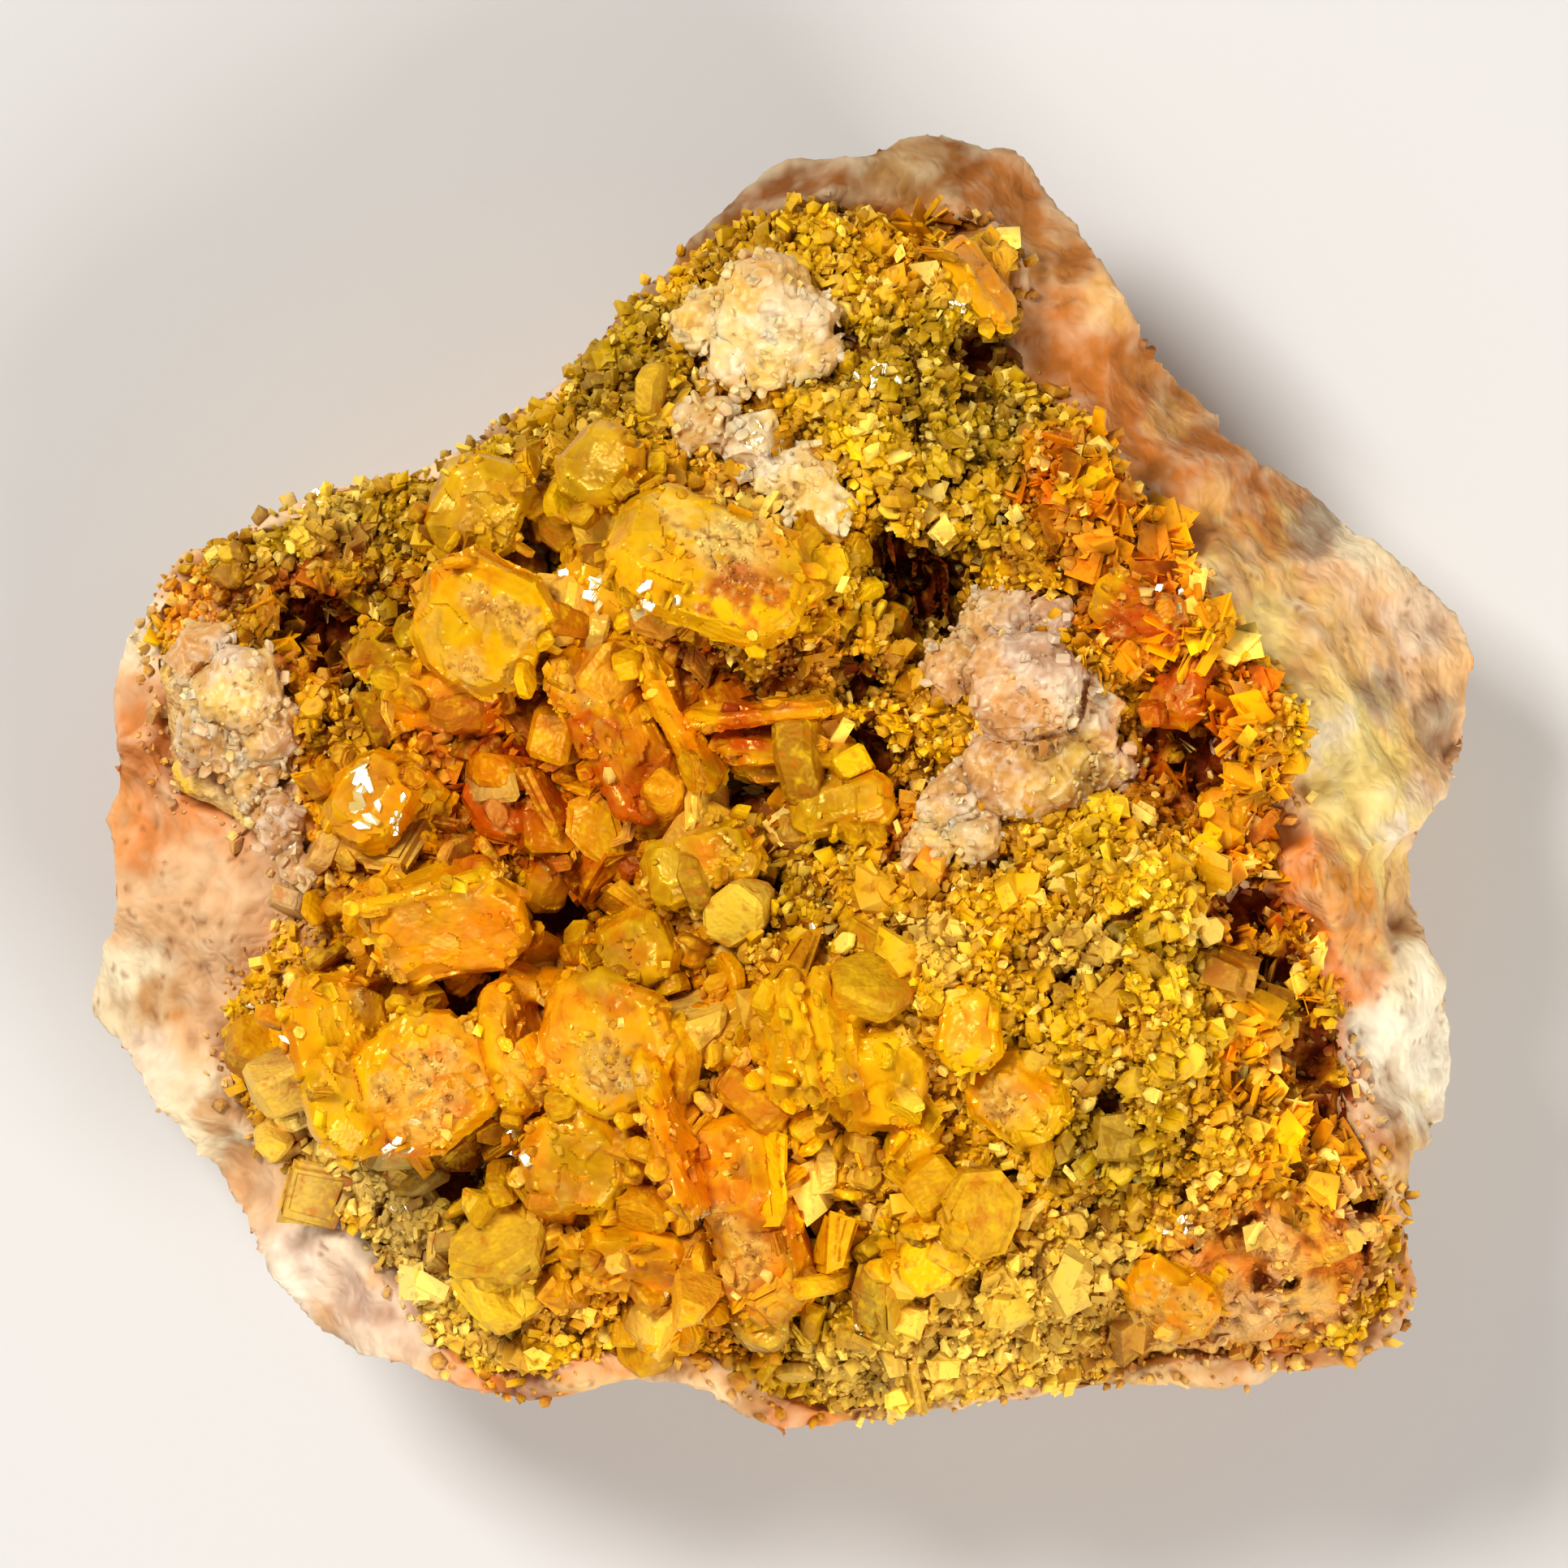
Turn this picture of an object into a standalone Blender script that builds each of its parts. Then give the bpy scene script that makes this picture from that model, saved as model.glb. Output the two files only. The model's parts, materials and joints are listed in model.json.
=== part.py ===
# Wulfenite crystals on their matrix: a hand specimen that lies on its flat back, crystals up.
# Blender 4.5. Metres, +Z up. The origin is on the surface it rests on, under the middle of its box.
#
# Every layout below is in millimetres, in plan: x to the right, y away from the viewer.

import itertools
import math
import random

import bmesh
import bpy
from mathutils import Euler, Matrix, Vector, noise
from mathutils.bvhtree import BVHTree

MM = 0.001

# Driving dimensions
GRID = 26  # quads along a side of the square grid that is wrapped onto the stone
CRUST_GRID = 20  # quads along a side of its inner part, which carries the crust
CRUST_THICKNESS = 0.9 * MM
GAP = 0.3 * MM  # between the stone, the crust and the crystals
RIM = 1.0 * MM  # the least width of bare stone round the crust
ROUGHNESS = 0.45 * MM  # how far the broad relief strays from the spot heights
ROUGHNESS_PERIOD = 2.2 * MM
SHIFT = 0.42 * MM  # how far grid points stray in plan, so that no rows show
SHIFT_PERIOD = 1.7 * MM
NEAREST_SPOT = 0.8 * MM  # keeps the map of spot heights smooth at each spot
SPOT_POWER = 3.0  # how fast a spot's pull fades with distance
CHIP = 1.8 * MM  # how deep the broken faces of the flanks cut in
CHIP_SIZE = 5.5 * MM
CHIP_SLOPE = 0.7
CELL_SPREAD = 9  # sets neighbouring broken faces apart in the noise that turns them
BLUNTING = math.radians(14)  # the base's outline is averaged over this angle each way
DRUSE_SHARE = 0.8  # of the crust's quads that carry a small crystal where there is room
DRUSE_HEIGHT = (0.35 * MM, 1.1 * MM)
DRUSE_TOP = (0.45, 0.7)  # width of a small crystal's top, as a share of its quad's
DRUSE_LEAN = 18  # degrees
DRUSE_CLEARANCE = 0.3 * MM  # to the large crystals
DRUSE_FOOT = 0.1 * MM  # width of the bare strip round a small crystal's foot
TRIM_FLOOR = 2.0 * MM
SEED = 20

# The stone's widest outline, anticlockwise in plan from its top
OUTLINE = [
    (4.7, 21.1), (3.8, 20.8), (2.9, 20.2), (0.8, 20.0), (-0.2, 19.7), (-1.8, 18.6), (-3.1, 17.6),
    (-3.6, 16.6), (-4.6, 15.9), (-7.5, 12.9), (-10.6, 10.7), (-11.9, 9.8), (-14.0, 9.9),
    (-15.3, 9.3), (-16.3, 8.5), (-18.2, 8.0), (-19.7, 7.2), (-20.5, 5.9), (-21.5, 2.8),
    (-21.5, 0.9), (-21.9, -0.9), (-21.7, -3.0), (-21.7, -4.8), (-22.5, -6.9), (-21.3, -8.7),
    (-20.2, -10.9), (-18.0, -12.9), (-17.4, -14.7), (-16.3, -16.2), (-14.8, -17.7),
    (-13.2, -18.6), (-10.6, -19.5), (-9.3, -19.8), (-4.9, -19.2), (-2.3, -19.5), (-1.0, -20.5),
    (0.1, -21.1), (4.7, -20.3), (9.4, -19.7), (16.5, -19.1), (18.5, -18.6), (20.0, -17.3),
    (20.4, -16.2), (20.0, -14.9), (19.8, -12.6), (21.8, -10.5), (21.5, -9.0), (21.5, -6.9),
    (20.1, -3.7), (20.2, -2.2), (21.9, 0.4), (22.4, 1.6), (22.3, 3.0), (22.5, 4.3), (21.9, 5.4),
    (19.1, 7.8), (17.5, 9.0), (14.6, 10.8), (13.2, 12.4), (10.9, 15.6), (9.8, 17.6), (8.4, 19.0),
    (7.4, 20.6), (6.2, 20.5),
]  # fmt: skip

# The edge of the crystal-lined hollow, anticlockwise from its top
CRUST_EDGE = [
    (1.1, 18.2), (-1.0, 17.6), (-3.6, 16.3), (-5.4, 14.0), (-7.5, 12.1), (-11.6, 9.0),
    (-14.0, 9.5), (-18.2, 7.4), (-19.8, 5.1), (-19.2, -0.1), (-16.6, -0.9), (-15.0, -4.0),
    (-17.1, -6.9), (-17.4, -9.5), (-16.1, -11.6), (-11.9, -15.5), (-10.6, -18.1), (-8.3, -18.6),
    (-4.9, -17.5), (-2.3, -17.8), (0.8, -19.6), (4.0, -20.0), (11.3, -18.1), (18.8, -17.5),
    (20.0, -15.5), (17.8, -11.3), (17.0, -6.1), (15.4, -3.7), (15.0, -0.9), (16.5, 0.9),
    (16.2, 2.2), (12.3, 6.9), (9.4, 11.3), (7.7, 12.1), (6.6, 13.3), (7.1, 14.7), (7.2, 16.8),
    (5.8, 17.7), (4.0, 17.3),
]  # fmt: skip

# Heights above the base: (x, y, z)
SPOT_HEIGHTS = [
    # along the widest outline, anticlockwise from the top
    (4.7, 21.0, 9), (-0.2, 19.7, 9), (-3.1, 17.6, 9), (-7.5, 12.9, 10), (-14.0, 9.9, 11),
    (-19.7, 7.2, 9.5), (-21.3, 3.5, 8), (-21.8, -0.9, 8), (-22.1, -6.9, 6), (-18.0, -12.9, 7),
    (-14.8, -17.7, 8.5), (-9.3, -19.8, 11), (-4.9, -19.2, 12), (1.9, -20.8, 11), (9.4, -19.7, 12),
    (16.5, -19.1, 12), (20.1, -15.5, 11), (21.7, -10.5, 9), (21.5, -7.9, 9), (20.2, -3.0, 8),
    (22.4, 1.6, 6), (21.9, 5.4, 6), (17.5, 9.0, 7), (13.2, 12.4, 8), (8.4, 19.0, 9),
    # bare slopes between the outline and the hollow
    (3.4, 19.7, 11.5), (9.4, 14.0, 13), (12.6, 9.5, 13), (15.9, 5.9, 12.5), (19.8, 3.8, 9),
    (17.8, 2.2, 13.5), (19.1, -0.9, 14), (20.1, -7.4, 13.5), (12.6, -18.8, 13.5),
    (0.8, -20.3, 12.3), (-7.0, -18.6, 13), (-12.2, -17.5, 11.5), (-16.1, -13.9, 10.5),
    (-18.4, -10.3, 10), (-20.0, -6.9, 9), (-16.6, -4.3, 12.5), (-19.2, -3.5, 10.5),
    (-20.0, 1.7, 11),
    # the upper end of the hollow
    (0.8, 18.1, 13), (6.3, 16.6, 15), (5.5, 14.2, 13.5), (2.9, 13.2, 15.5), (-1.0, 14.7, 15),
    (-5.4, 12.1, 14), (-9.6, 8.5, 15), (-16.1, 7.2, 13.5), (-17.4, 3.0, 14), (-13.5, 5.1, 11.5),
    # its middle, with the deep pockets
    (-9.8, 4.8, 16), (-8.5, 7.1, 12), (-5.7, 9.5, 16.5), (-2.5, 6.4, 17.5), (-1.8, 4.3, 15.5),
    (0.8, 5.1, 17), (4.2, 5.9, 12.5), (4.7, 10.6, 16.5), (6.6, 8.2, 15), (7.6, 2.5, 18),
    (12.3, 0.7, 15), (-8.3, 0.2, 13), (-5.9, 0.2, 14.5), (-1.8, 0.2, 14), (-7.2, -3.7, 11.5),
    (-2.3, -2.4, 16.5), (2.9, -2.4, 17), (-0.2, -5.0, 17), (-4.9, -5.8, 15), (-8.5, -6.1, 12.5),
    (-10.9, -4.3, 15.5), (-13.5, -0.9, 14.5),
    # the ridge on its right
    (9.4, 9.5, 18.5), (13.3, 5.4, 18.5), (15.4, 1.7, 19), (17.5, -3.0, 19), (15.4, -4.3, 16),
    # its lower left
    (-14.0, -9.0, 14.5), (-11.1, -9.7, 15.5), (-10.6, -12.3, 12.5), (-5.4, -8.4, 17),
    (-3.1, -11.3, 16.5), (-7.0, -12.1, 15.5), (-0.7, -15.2, 15.5), (-8.5, -15.5, 14),
    (-13.5, -13.9, 12),
    # its lower right
    (0.8, -8.2, 18.5), (5.5, -6.1, 19.5), (11.3, -3.0, 20), (11.3, -7.4, 20.5), (9.4, -10.5, 18),
    (13.9, -12.1, 19), (6.1, -13.4, 18), (2.4, -16.5, 16), (8.1, -17.0, 16.5), (13.3, -14.4, 16),
    (17.0, -14.7, 17), (16.7, -8.4, 16), (18.8, -11.3, 15.5),
]  # fmt: skip

# The flanks under the widest outline: (share of its radius, share of its height)
FLANK_RINGS = [(0.99, 0.80), (0.97, 0.58), (0.93, 0.36), (0.87, 0.15), (0.80, 0.0)]

# Tabular crystals. Each group grew together and is one solid. Each crystal is
# (x, y, lift above the crust, width, length, thickness, toward, tilt, turn): the flat face looks
# up, leans by tilt degrees toward that compass angle, and the plate turns in its own plane.
WULFENITE = {
    "frosted_pair": [
        (-9.6, 5.0, 1.1, 4.4, 4.2, 1.5, 225, 25, 20),
        (-11.0, 2.6, 0.3, 2.6, 4.0, 1.3, 255, 50, 10),
    ],
    "side_tablet": [(-12.9, 3.9, 0.7, 2.2, 2.4, 1.1, 200, 35, 30)],
    "long_plate": [(-5.3, 1.6, 1.5, 3.0, 6.2, 0.8, 30, 42, 0)],
    "crossed_blades": [
        (-3.3, 2.1, 1.2, 2.8, 5.2, 0.8, 27, 74, 0),
        (-0.7, 2.3, 1.3, 2.4, 4.8, 0.6, 96, 76, 0),
        (0.0, 1.3, 1.1, 2.4, 4.6, 0.9, 85, 62, 0),
    ],
    "cavity_discs": [
        (-8.2, -0.1, 0.4, 4.0, 4.0, 1.0, 60, 28, 15),
        (-7.0, -1.1, 0.2, 3.0, 3.0, 0.8, 20, 40, 30),
    ],
    "left_lens": [
        (-13.1, -0.5, 0.9, 2.6, 3.2, 1.4, 130, 35, 20),
        (-12.0, -1.1, 0.2, 1.4, 1.6, 0.8, 330, 30, 10),
    ],
    "winged_plates": [
        (-11.6, -3.3, 1.7, 2.4, 4.8, 0.5, 103, 74, 0),
        (-10.6, -4.7, 0.9, 3.6, 5.0, 0.9, 280, 35, 0),
    ],
    "pocket_tablet": [(-7.5, -3.2, 1.2, 1.6, 2.2, 0.9, 330, 40, 20)],
    "curled_tablets": [
        (-13.9, -9.0, 1.6, 4.2, 6.0, 1.7, 20, 48, -6),
        (-11.4, -9.6, 0.9, 4.4, 4.4, 1.2, 300, 16, 12),
        (-8.5, -8.4, 1.3, 3.4, 4.4, 1.0, 10, 62, 8),
        (-7.2, -6.6, 1.0, 1.8, 3.6, 0.7, 75, 60, 0),
    ],
    "broad_plates": [
        (-5.7, -8.3, 0.8, 4.4, 4.4, 0.9, 200, 24, 45),
        (-6.5, -9.9, 0.6, 1.6, 3.4, 0.7, 35, 65, -20),
        (-3.6, -11.0, 1.3, 2.8, 5.8, 0.8, 15, 72, 0),
        (-1.8, -12.3, 0.8, 3.0, 3.4, 1.0, 180, 30, 12),
        (-6.6, -12.1, 0.8, 3.2, 3.4, 1.2, 250, 20, 22),
        (-0.6, -15.1, 0.9, 2.8, 4.4, 1.4, 260, 25, -65),
    ],
    "lower_wedge": [(-4.7, -15.3, 0.9, 2.2, 3.6, 1.2, 270, 40, 0)],
    "plate_fan": [
        (-0.1, -8.3, 1.1, 2.8, 4.0, 0.6, 190, 64, 0),
        (0.7, -8.0, 1.3, 3.0, 4.4, 0.6, 12, 80, 0),
        (1.7, -7.8, 1.2, 3.0, 4.2, 0.7, 10, 62, 0),
        (2.9, -9.5, 0.7, 3.2, 3.2, 1.6, 240, 20, 30),
        (4.2, -11.7, 0.7, 1.8, 2.2, 1.1, 300, 25, 40),
    ],
    "dusty_wedge": [(-1.9, -7.7, 0.7, 2.2, 2.8, 1.0, 120, 30, 30)],
    "butter_tablet": [(7.4, -10.1, 0.8, 2.6, 3.2, 1.4, 200, 15, 35)],
    "great_wedge": [(-2.3, 6.9, 1.5, 4.2, 6.6, 1.7, 70, 30, 0)],
    "dark_wedge": [(-5.9, 5.9, 1.0, 2.4, 3.2, 1.4, 230, 40, 0)],
    "yellow_tablet": [(-5.8, 10.0, 1.0, 2.6, 2.8, 1.2, 120, 25, 20)],
    "olive_block": [(-9.6, 8.7, 0.8, 3.0, 3.4, 1.4, 300, 20, 40)],
    "ridge_crystal": [(13.9, -1.2, 0.8, 1.5, 2.2, 1.0, 240, 25, -60)],
    "knobbed_crystal": [(-2.6, -2.5, 0.7, 2.2, 3.8, 1.4, 110, 20, 0)],
    "amber_bar": [(1.9, -0.7, 0.6, 1.8, 3.4, 1.4, 100, 15, 0)],
    "round_tablet": [(-4.7, -5.4, 0.9, 2.6, 2.6, 1.2, 180, 30, 30)],
    "crest_blade": [(6.2, 15.9, 0.9, 1.8, 3.2, 0.7, 35, 50, 0)],
    "russet_plate": [(11.3, 5.3, 0.8, 2.4, 3.2, 0.7, 250, 45, 0)],
    "russet_lens": [(12.6, 3.0, 0.6, 2.2, 2.6, 0.8, 150, 40, 20)],
    "corner_tablet": [(12.3, -16.4, 0.8, 2.4, 3.2, 1.0, 230, 30, 10)],
    "druse_tablet": [(5.8, -7.8, 0.7, 2.0, 2.6, 1.2, 160, 25, 20)],
}
CORNER_CUT = 0.24  # of a plate's width
EDGE_BEVEL = 0.36  # of a plate's thickness
UPRIGHT_TILT = 45  # degrees, past which a plate shows its other face too

# Pale clusters of rounded plates: (x, y, radius, height above the crust) for each lobe
CALCITE = {
    "crown": [
        (-2.3, 14.6, 1.4, 1.0), (-0.6, 15.1, 1.8, 1.2), (0.6, 14.6, 1.5, 1.1),
        (-0.3, 13.8, 1.6, 1.3), (1.0, 13.4, 1.2, 1.0), (-1.6, 13.6, 1.1, 0.9),
    ],
    "discs": [
        (-2.3, 11.1, 1.3, 1.1), (-1.1, 10.7, 1.3, 1.5), (-0.4, 9.6, 1.2, 1.1),
        (0.9, 9.8, 1.6, 1.1), (1.2, 8.5, 1.4, 0.9),
    ],
    "heart": [
        (7.1, 4.7, 1.6, 1.1), (8.5, 4.9, 1.3, 0.9), (5.8, 3.3, 1.5, 1.1), (7.7, 3.0, 2.1, 1.5),
        (9.6, 2.1, 1.6, 1.2), (9.7, 0.5, 1.3, 1.1), (7.9, 0.4, 2.0, 1.3), (5.6, -0.7, 1.6, 1.0),
        (4.7, -2.5, 1.2, 0.9), (6.4, -1.9, 1.2, 0.9),
    ],
    "block": [
        (-18.4, 4.0, 1.4, 1.2), (-17.4, 3.0, 1.6, 1.5), (-18.0, 1.6, 1.6, 1.2),
        (-16.6, 1.8, 1.3, 1.0), (-16.6, 0.3, 1.3, 1.0), (-15.9, -1.2, 1.1, 1.0),
        (-15.2, -2.7, 0.9, 0.8),
    ],
}  # fmt: skip
LOBE_ROUGHNESS = 0.14  # of a lobe's radius
LOBE_WAVES = 2.1  # of that unevenness, over a lobe's radius
LOBE_WIDTH = 0.88  # of its length
LOBE_LEAN = 0.25  # radians, at most
LARGE_LOBE = 1.7  # radius from which a lobe has the finer mesh


def clear_scene():
    for obj in list(bpy.data.objects):
        bpy.data.objects.remove(obj)


def make_material(name, color, roughness):
    material = bpy.data.materials.new(name)
    material.use_nodes = True
    shader = material.node_tree.nodes["Principled BSDF"]
    shader.inputs["Base Color"].default_value = (*color, 1)
    shader.inputs["Roughness"].default_value = roughness
    shader.inputs["Metallic"].default_value = 0
    return material


def add_object(name, bm, material, place=Matrix.Identity(4)):
    mesh = bpy.data.meshes.new(name)
    bm.to_mesh(mesh)
    bm.free()
    mesh.materials.append(material)
    obj = bpy.data.objects.new(name, mesh)
    obj.matrix_world = place
    bpy.context.scene.collection.objects.link(obj)
    return obj


def hide_cutter(obj):
    obj.hide_render = True
    obj.display_type = "WIRE"


def add_boolean(obj, operation, other):
    modifier = obj.modifiers.new(f"{operation.lower()}_{other.name}", "BOOLEAN")
    modifier.operation = operation
    modifier.object = other


# Plan outlines as a radius for each compass angle


def polar(points):
    """Sorted (angle, radius in metres) of an outline that every ray from the origin meets once."""
    return sorted((math.atan2(y, x) % math.tau, math.hypot(x, y) * MM) for x, y in points)


def radius_at(outline, angle):
    angle %= math.tau
    first, last = outline[0], outline[-1]
    ring = [(last[0] - math.tau, last[1]), *outline, (first[0] + math.tau, first[1])]
    for (a0, r0), (a1, r1) in zip(ring, ring[1:]):
        if a0 <= angle <= a1:
            # straight between the two points, so the radius follows the chord
            span = math.sin(a1 - a0)
            if span < 1e-9:
                return r0
            return r0 * r1 * span / (r0 * math.sin(angle - a0) + r1 * math.sin(a1 - angle))
    return last[1]


STONE_EDGE = polar(OUTLINE)
HOLLOW_EDGE = polar(CRUST_EDGE)


def hollow_radius(angle):
    return min(radius_at(HOLLOW_EDGE, angle), radius_at(STONE_EDGE, angle) - RIM)


def surface_height(x, y):
    """Height of the visible surface over a point in plan, in metres."""
    total = weight_sum = 0.0
    for spot_x, spot_y, spot_z in SPOT_HEIGHTS:
        away = math.hypot(x - spot_x * MM, y - spot_y * MM, NEAREST_SPOT)
        weight = away**-SPOT_POWER
        total += weight * spot_z * MM
        weight_sum += weight
    here = Vector((x, y, 0)) / ROUGHNESS_PERIOD
    return total / weight_sum + ROUGHNESS * noise.noise(here)


def wrap(u, v):
    """A point of the square from -1 to 1, as a share of the radius and a compass angle."""
    share = max(abs(u), abs(v))
    if share == 0:
        return 0.0, 0.0
    if abs(u) >= abs(v):
        return share, math.pi / 4 * v / u + (math.pi if u < 0 else 0)
    return share, math.pi / 2 - math.pi / 4 * u / v + (math.pi if v < 0 else 0)


def plan_point(u, v):
    """Where a grid point lies in plan. The inner part of the grid ends on the hollow's edge."""
    share, angle = wrap(u, v)
    inner = CRUST_GRID / GRID
    hollow = hollow_radius(angle)
    if share <= inner:
        radius = hollow * share / inner
    else:
        outer = (share - inner) / (1 - inner)
        radius = hollow + (radius_at(STONE_EDGE, angle) - hollow) * outer
    x, y = radius * math.cos(angle), radius * math.sin(angle)
    if share > inner - 1 / GRID:
        return x, y
    stray = SHIFT * noise.noise_vector(Vector((x, y, 0)) / SHIFT_PERIOD)
    return x + stray.x, y + stray.y


def wrapped_grid(segments, reach, height_of):
    """A square grid bent onto the stone's plan, at height_of(x, y, share of the radius)."""
    bm = bmesh.new()
    bmesh.ops.create_grid(bm, x_segments=segments, y_segments=segments, size=reach)
    for vertex in bm.verts:
        u, v = vertex.co.xy
        x, y = plan_point(u, v)
        vertex.co = (x, y, height_of(x, y, max(abs(u), abs(v))))
    return bm


def extrude_border(bm, border, move):
    """Extrudes a loop of edges once and moves each new vertex. Returns the new loop."""
    made = bmesh.ops.extrude_edge_only(bm, edges=border)["geom"]
    for vertex in [g for g in made if isinstance(g, bmesh.types.BMVert)]:
        vertex.co = move(vertex.co)
    edges = [g for g in made if isinstance(g, bmesh.types.BMEdge)]
    return [e for e in edges if e.is_boundary]


def finish_solid(bm):
    bmesh.ops.triangulate(bm, faces=bm.faces, quad_method="SHORT_EDGE")
    bmesh.ops.recalc_face_normals(bm, faces=bm.faces)


# The stone


def stone_height(x, y, share):
    """The stone lies deeper under the crust, which fills the hollow up to the visible surface."""
    under_crust = share <= CRUST_GRID / GRID + 1e-6
    return surface_height(x, y) - (CRUST_THICKNESS + GAP if under_crust else 0)


def chip_depth(point):
    """How far a point is broken back: flat faces, each leaning its own way, that meet in edges."""
    centre = noise.voronoi(point / CHIP_SIZE)[1][0]
    lean = noise.cell_vector(centre * CELL_SPREAD) - Vector((0.5, 0.5, 0.5))
    return CHIP * (0.5 + lean.z) + CHIP_SLOPE * (point - centre * CHIP_SIZE).dot(lean)


def flank_point(x, y, ring_share, height_share):
    """A point of the broken flank, on the ray of a point of the widest outline."""
    angle = math.atan2(y, x)
    edge = radius_at(STONE_EDGE, angle)
    around = [radius_at(STONE_EDGE, angle + BLUNTING * step / 3) for step in range(-3, 4)]
    blunt = min(edge, sum(around) / len(around))
    reach = (edge * height_share + blunt * (1 - height_share)) * ring_share
    z = height_share * surface_height(edge * math.cos(angle), edge * math.sin(angle))
    here = Vector((reach * math.cos(angle), reach * math.sin(angle), z))
    if height_share > 0:
        reach -= max(0, min(CHIP, chip_depth(here)))
    return Vector((reach * math.cos(angle), reach * math.sin(angle), z))


def make_stone(material):
    bm = wrapped_grid(GRID, 1.0, stone_height)
    border = [e for e in bm.edges if e.is_boundary]
    for ring_share, height_share in FLANK_RINGS:
        border = extrude_border(
            bm,
            border,
            lambda co, r=ring_share, h=height_share: flank_point(co.x, co.y, r, h),
        )
    bmesh.ops.contextual_create(bm, geom=border)
    finish_solid(bm)
    return add_object("matrix_rock", bm, material)


# The crystals


def tablet(width, length, thickness, bevel_below):
    """A square plate with cut corners and a low pyramid face along each edge, centred."""
    bm = bmesh.new()
    bmesh.ops.create_cube(bm, size=1)
    bmesh.ops.scale(bm, vec=(width, length, thickness), verts=bm.verts)
    half = thickness / 2
    upright = [e for e in bm.edges if abs(e.verts[0].co.z - e.verts[1].co.z) > half]
    corner = CORNER_CUT * min(width, length)
    bmesh.ops.bevel(bm, geom=upright, offset=corner, segments=1, affect="EDGES", profile=0.5)
    level = [e for e in bm.edges if abs(e.verts[0].co.z - e.verts[1].co.z) < 1e-9]
    rims = [e for e in level if bevel_below or e.verts[0].co.z > 0]
    bevel = EDGE_BEVEL * thickness
    bmesh.ops.bevel(bm, geom=rims, offset=bevel, segments=1, affect="EDGES", profile=0.5)
    bmesh.ops.recalc_face_normals(bm, faces=bm.faces)
    return bm


def plate_place(x, y, lift, toward, tilt, turn):
    z = surface_height(x * MM, y * MM) + lift * MM
    lean = Matrix.Rotation(math.radians(toward), 4, "Z") @ Matrix.Rotation(
        math.radians(tilt), 4, "Y"
    )
    spin = Matrix.Rotation(math.radians(turn), 4, "Z")
    return Matrix.Translation((x * MM, y * MM, z)) @ lean @ spin


def join_group(name, parts, trim):
    """Unites parts with the first of them, and cuts their feet off just above the crust."""
    body = parts[0]
    body.name = name
    for part in parts[1:]:
        hide_cutter(part)
        add_boolean(body, "UNION", part)
    add_boolean(body, "DIFFERENCE", trim)
    return body


def make_wulfenite(trim, material):
    groups = []
    for name, crystals in WULFENITE.items():
        plates = []
        for x, y, lift, width, length, thickness, toward, tilt, turn in crystals:
            stands_up = tilt > UPRIGHT_TILT
            bm = tablet(width * MM, length * MM, thickness * MM, bevel_below=stands_up)
            place = plate_place(x, y, lift, toward, tilt, turn)
            plates.append(add_object(f"plate_{name}", bm, material, place))
        groups.append(join_group(f"wulfenite_{name}", plates, trim))
    return groups


def lobe(radius, height):
    """A flattened, slightly uneven ball."""
    bm = bmesh.new()
    subdivisions = 2 if radius >= LARGE_LOBE * MM else 1
    bmesh.ops.create_icosphere(bm, subdivisions=subdivisions, radius=1)
    for vertex in bm.verts:
        here = vertex.co * LOBE_WAVES + Vector((radius, 0, 0)) / MM
        vertex.co *= 1 + LOBE_ROUGHNESS * noise.noise(here)
    bmesh.ops.scale(bm, vec=(radius, radius * LOBE_WIDTH, height), verts=bm.verts)
    return bm


def make_calcite(trim, material):
    groups = []
    for name, lobes in CALCITE.items():
        balls = []
        for number, (x, y, radius, height) in enumerate(lobes):
            z = surface_height(x * MM, y * MM)
            turn = Euler((LOBE_LEAN * math.sin(number), LOBE_LEAN * math.cos(number), number))
            place = Matrix.Translation((x * MM, y * MM, z)) @ turn.to_matrix().to_4x4()
            balls.append(add_object(f"ball_{name}", lobe(radius * MM, height * MM), material, place))
        groups.append(join_group(f"calcite_{name}", balls, trim))
    return groups


def make_trim(material):
    """The space below the crystals' feet: the visible surface raised by the gap, and all under it."""
    bm = wrapped_grid(GRID, 1.0, lambda x, y, share: surface_height(x, y) + GAP)
    border = [e for e in bm.edges if e.is_boundary]
    border = extrude_border(bm, border, lambda co: Vector((co.x, co.y, TRIM_FLOOR)))
    bmesh.ops.contextual_create(bm, geom=border)
    finish_solid(bm)
    trim = add_object("trim_space", bm, material)
    hide_cutter(trim)
    return trim


# The crust, with its small crystals


def crystal_tree(groups):
    """The finished crystals as one search tree in world space."""
    bpy.context.view_layer.update()
    graph = bpy.context.evaluated_depsgraph_get()
    points, faces = [], []
    for group in groups:
        evaluated = group.evaluated_get(graph)
        mesh = evaluated.to_mesh()
        start = len(points)
        points += [evaluated.matrix_world @ v.co for v in mesh.vertices]
        faces += [[start + i for i in p.vertices] for p in mesh.polygons]
        evaluated.to_mesh_clear()
    return BVHTree.FromPolygons(points, faces)


def is_clear(tree, paths):
    """Whether each (start, end) stays well clear of the crystals from its middle on."""
    for start, end in paths:
        way = end - start
        nearest = min(tree.find_nearest(point)[3] for point in (start + way / 2, end))
        if nearest < DRUSE_CLEARANCE or tree.ray_cast(start, way, way.length)[0]:
            return False
    return True


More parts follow.
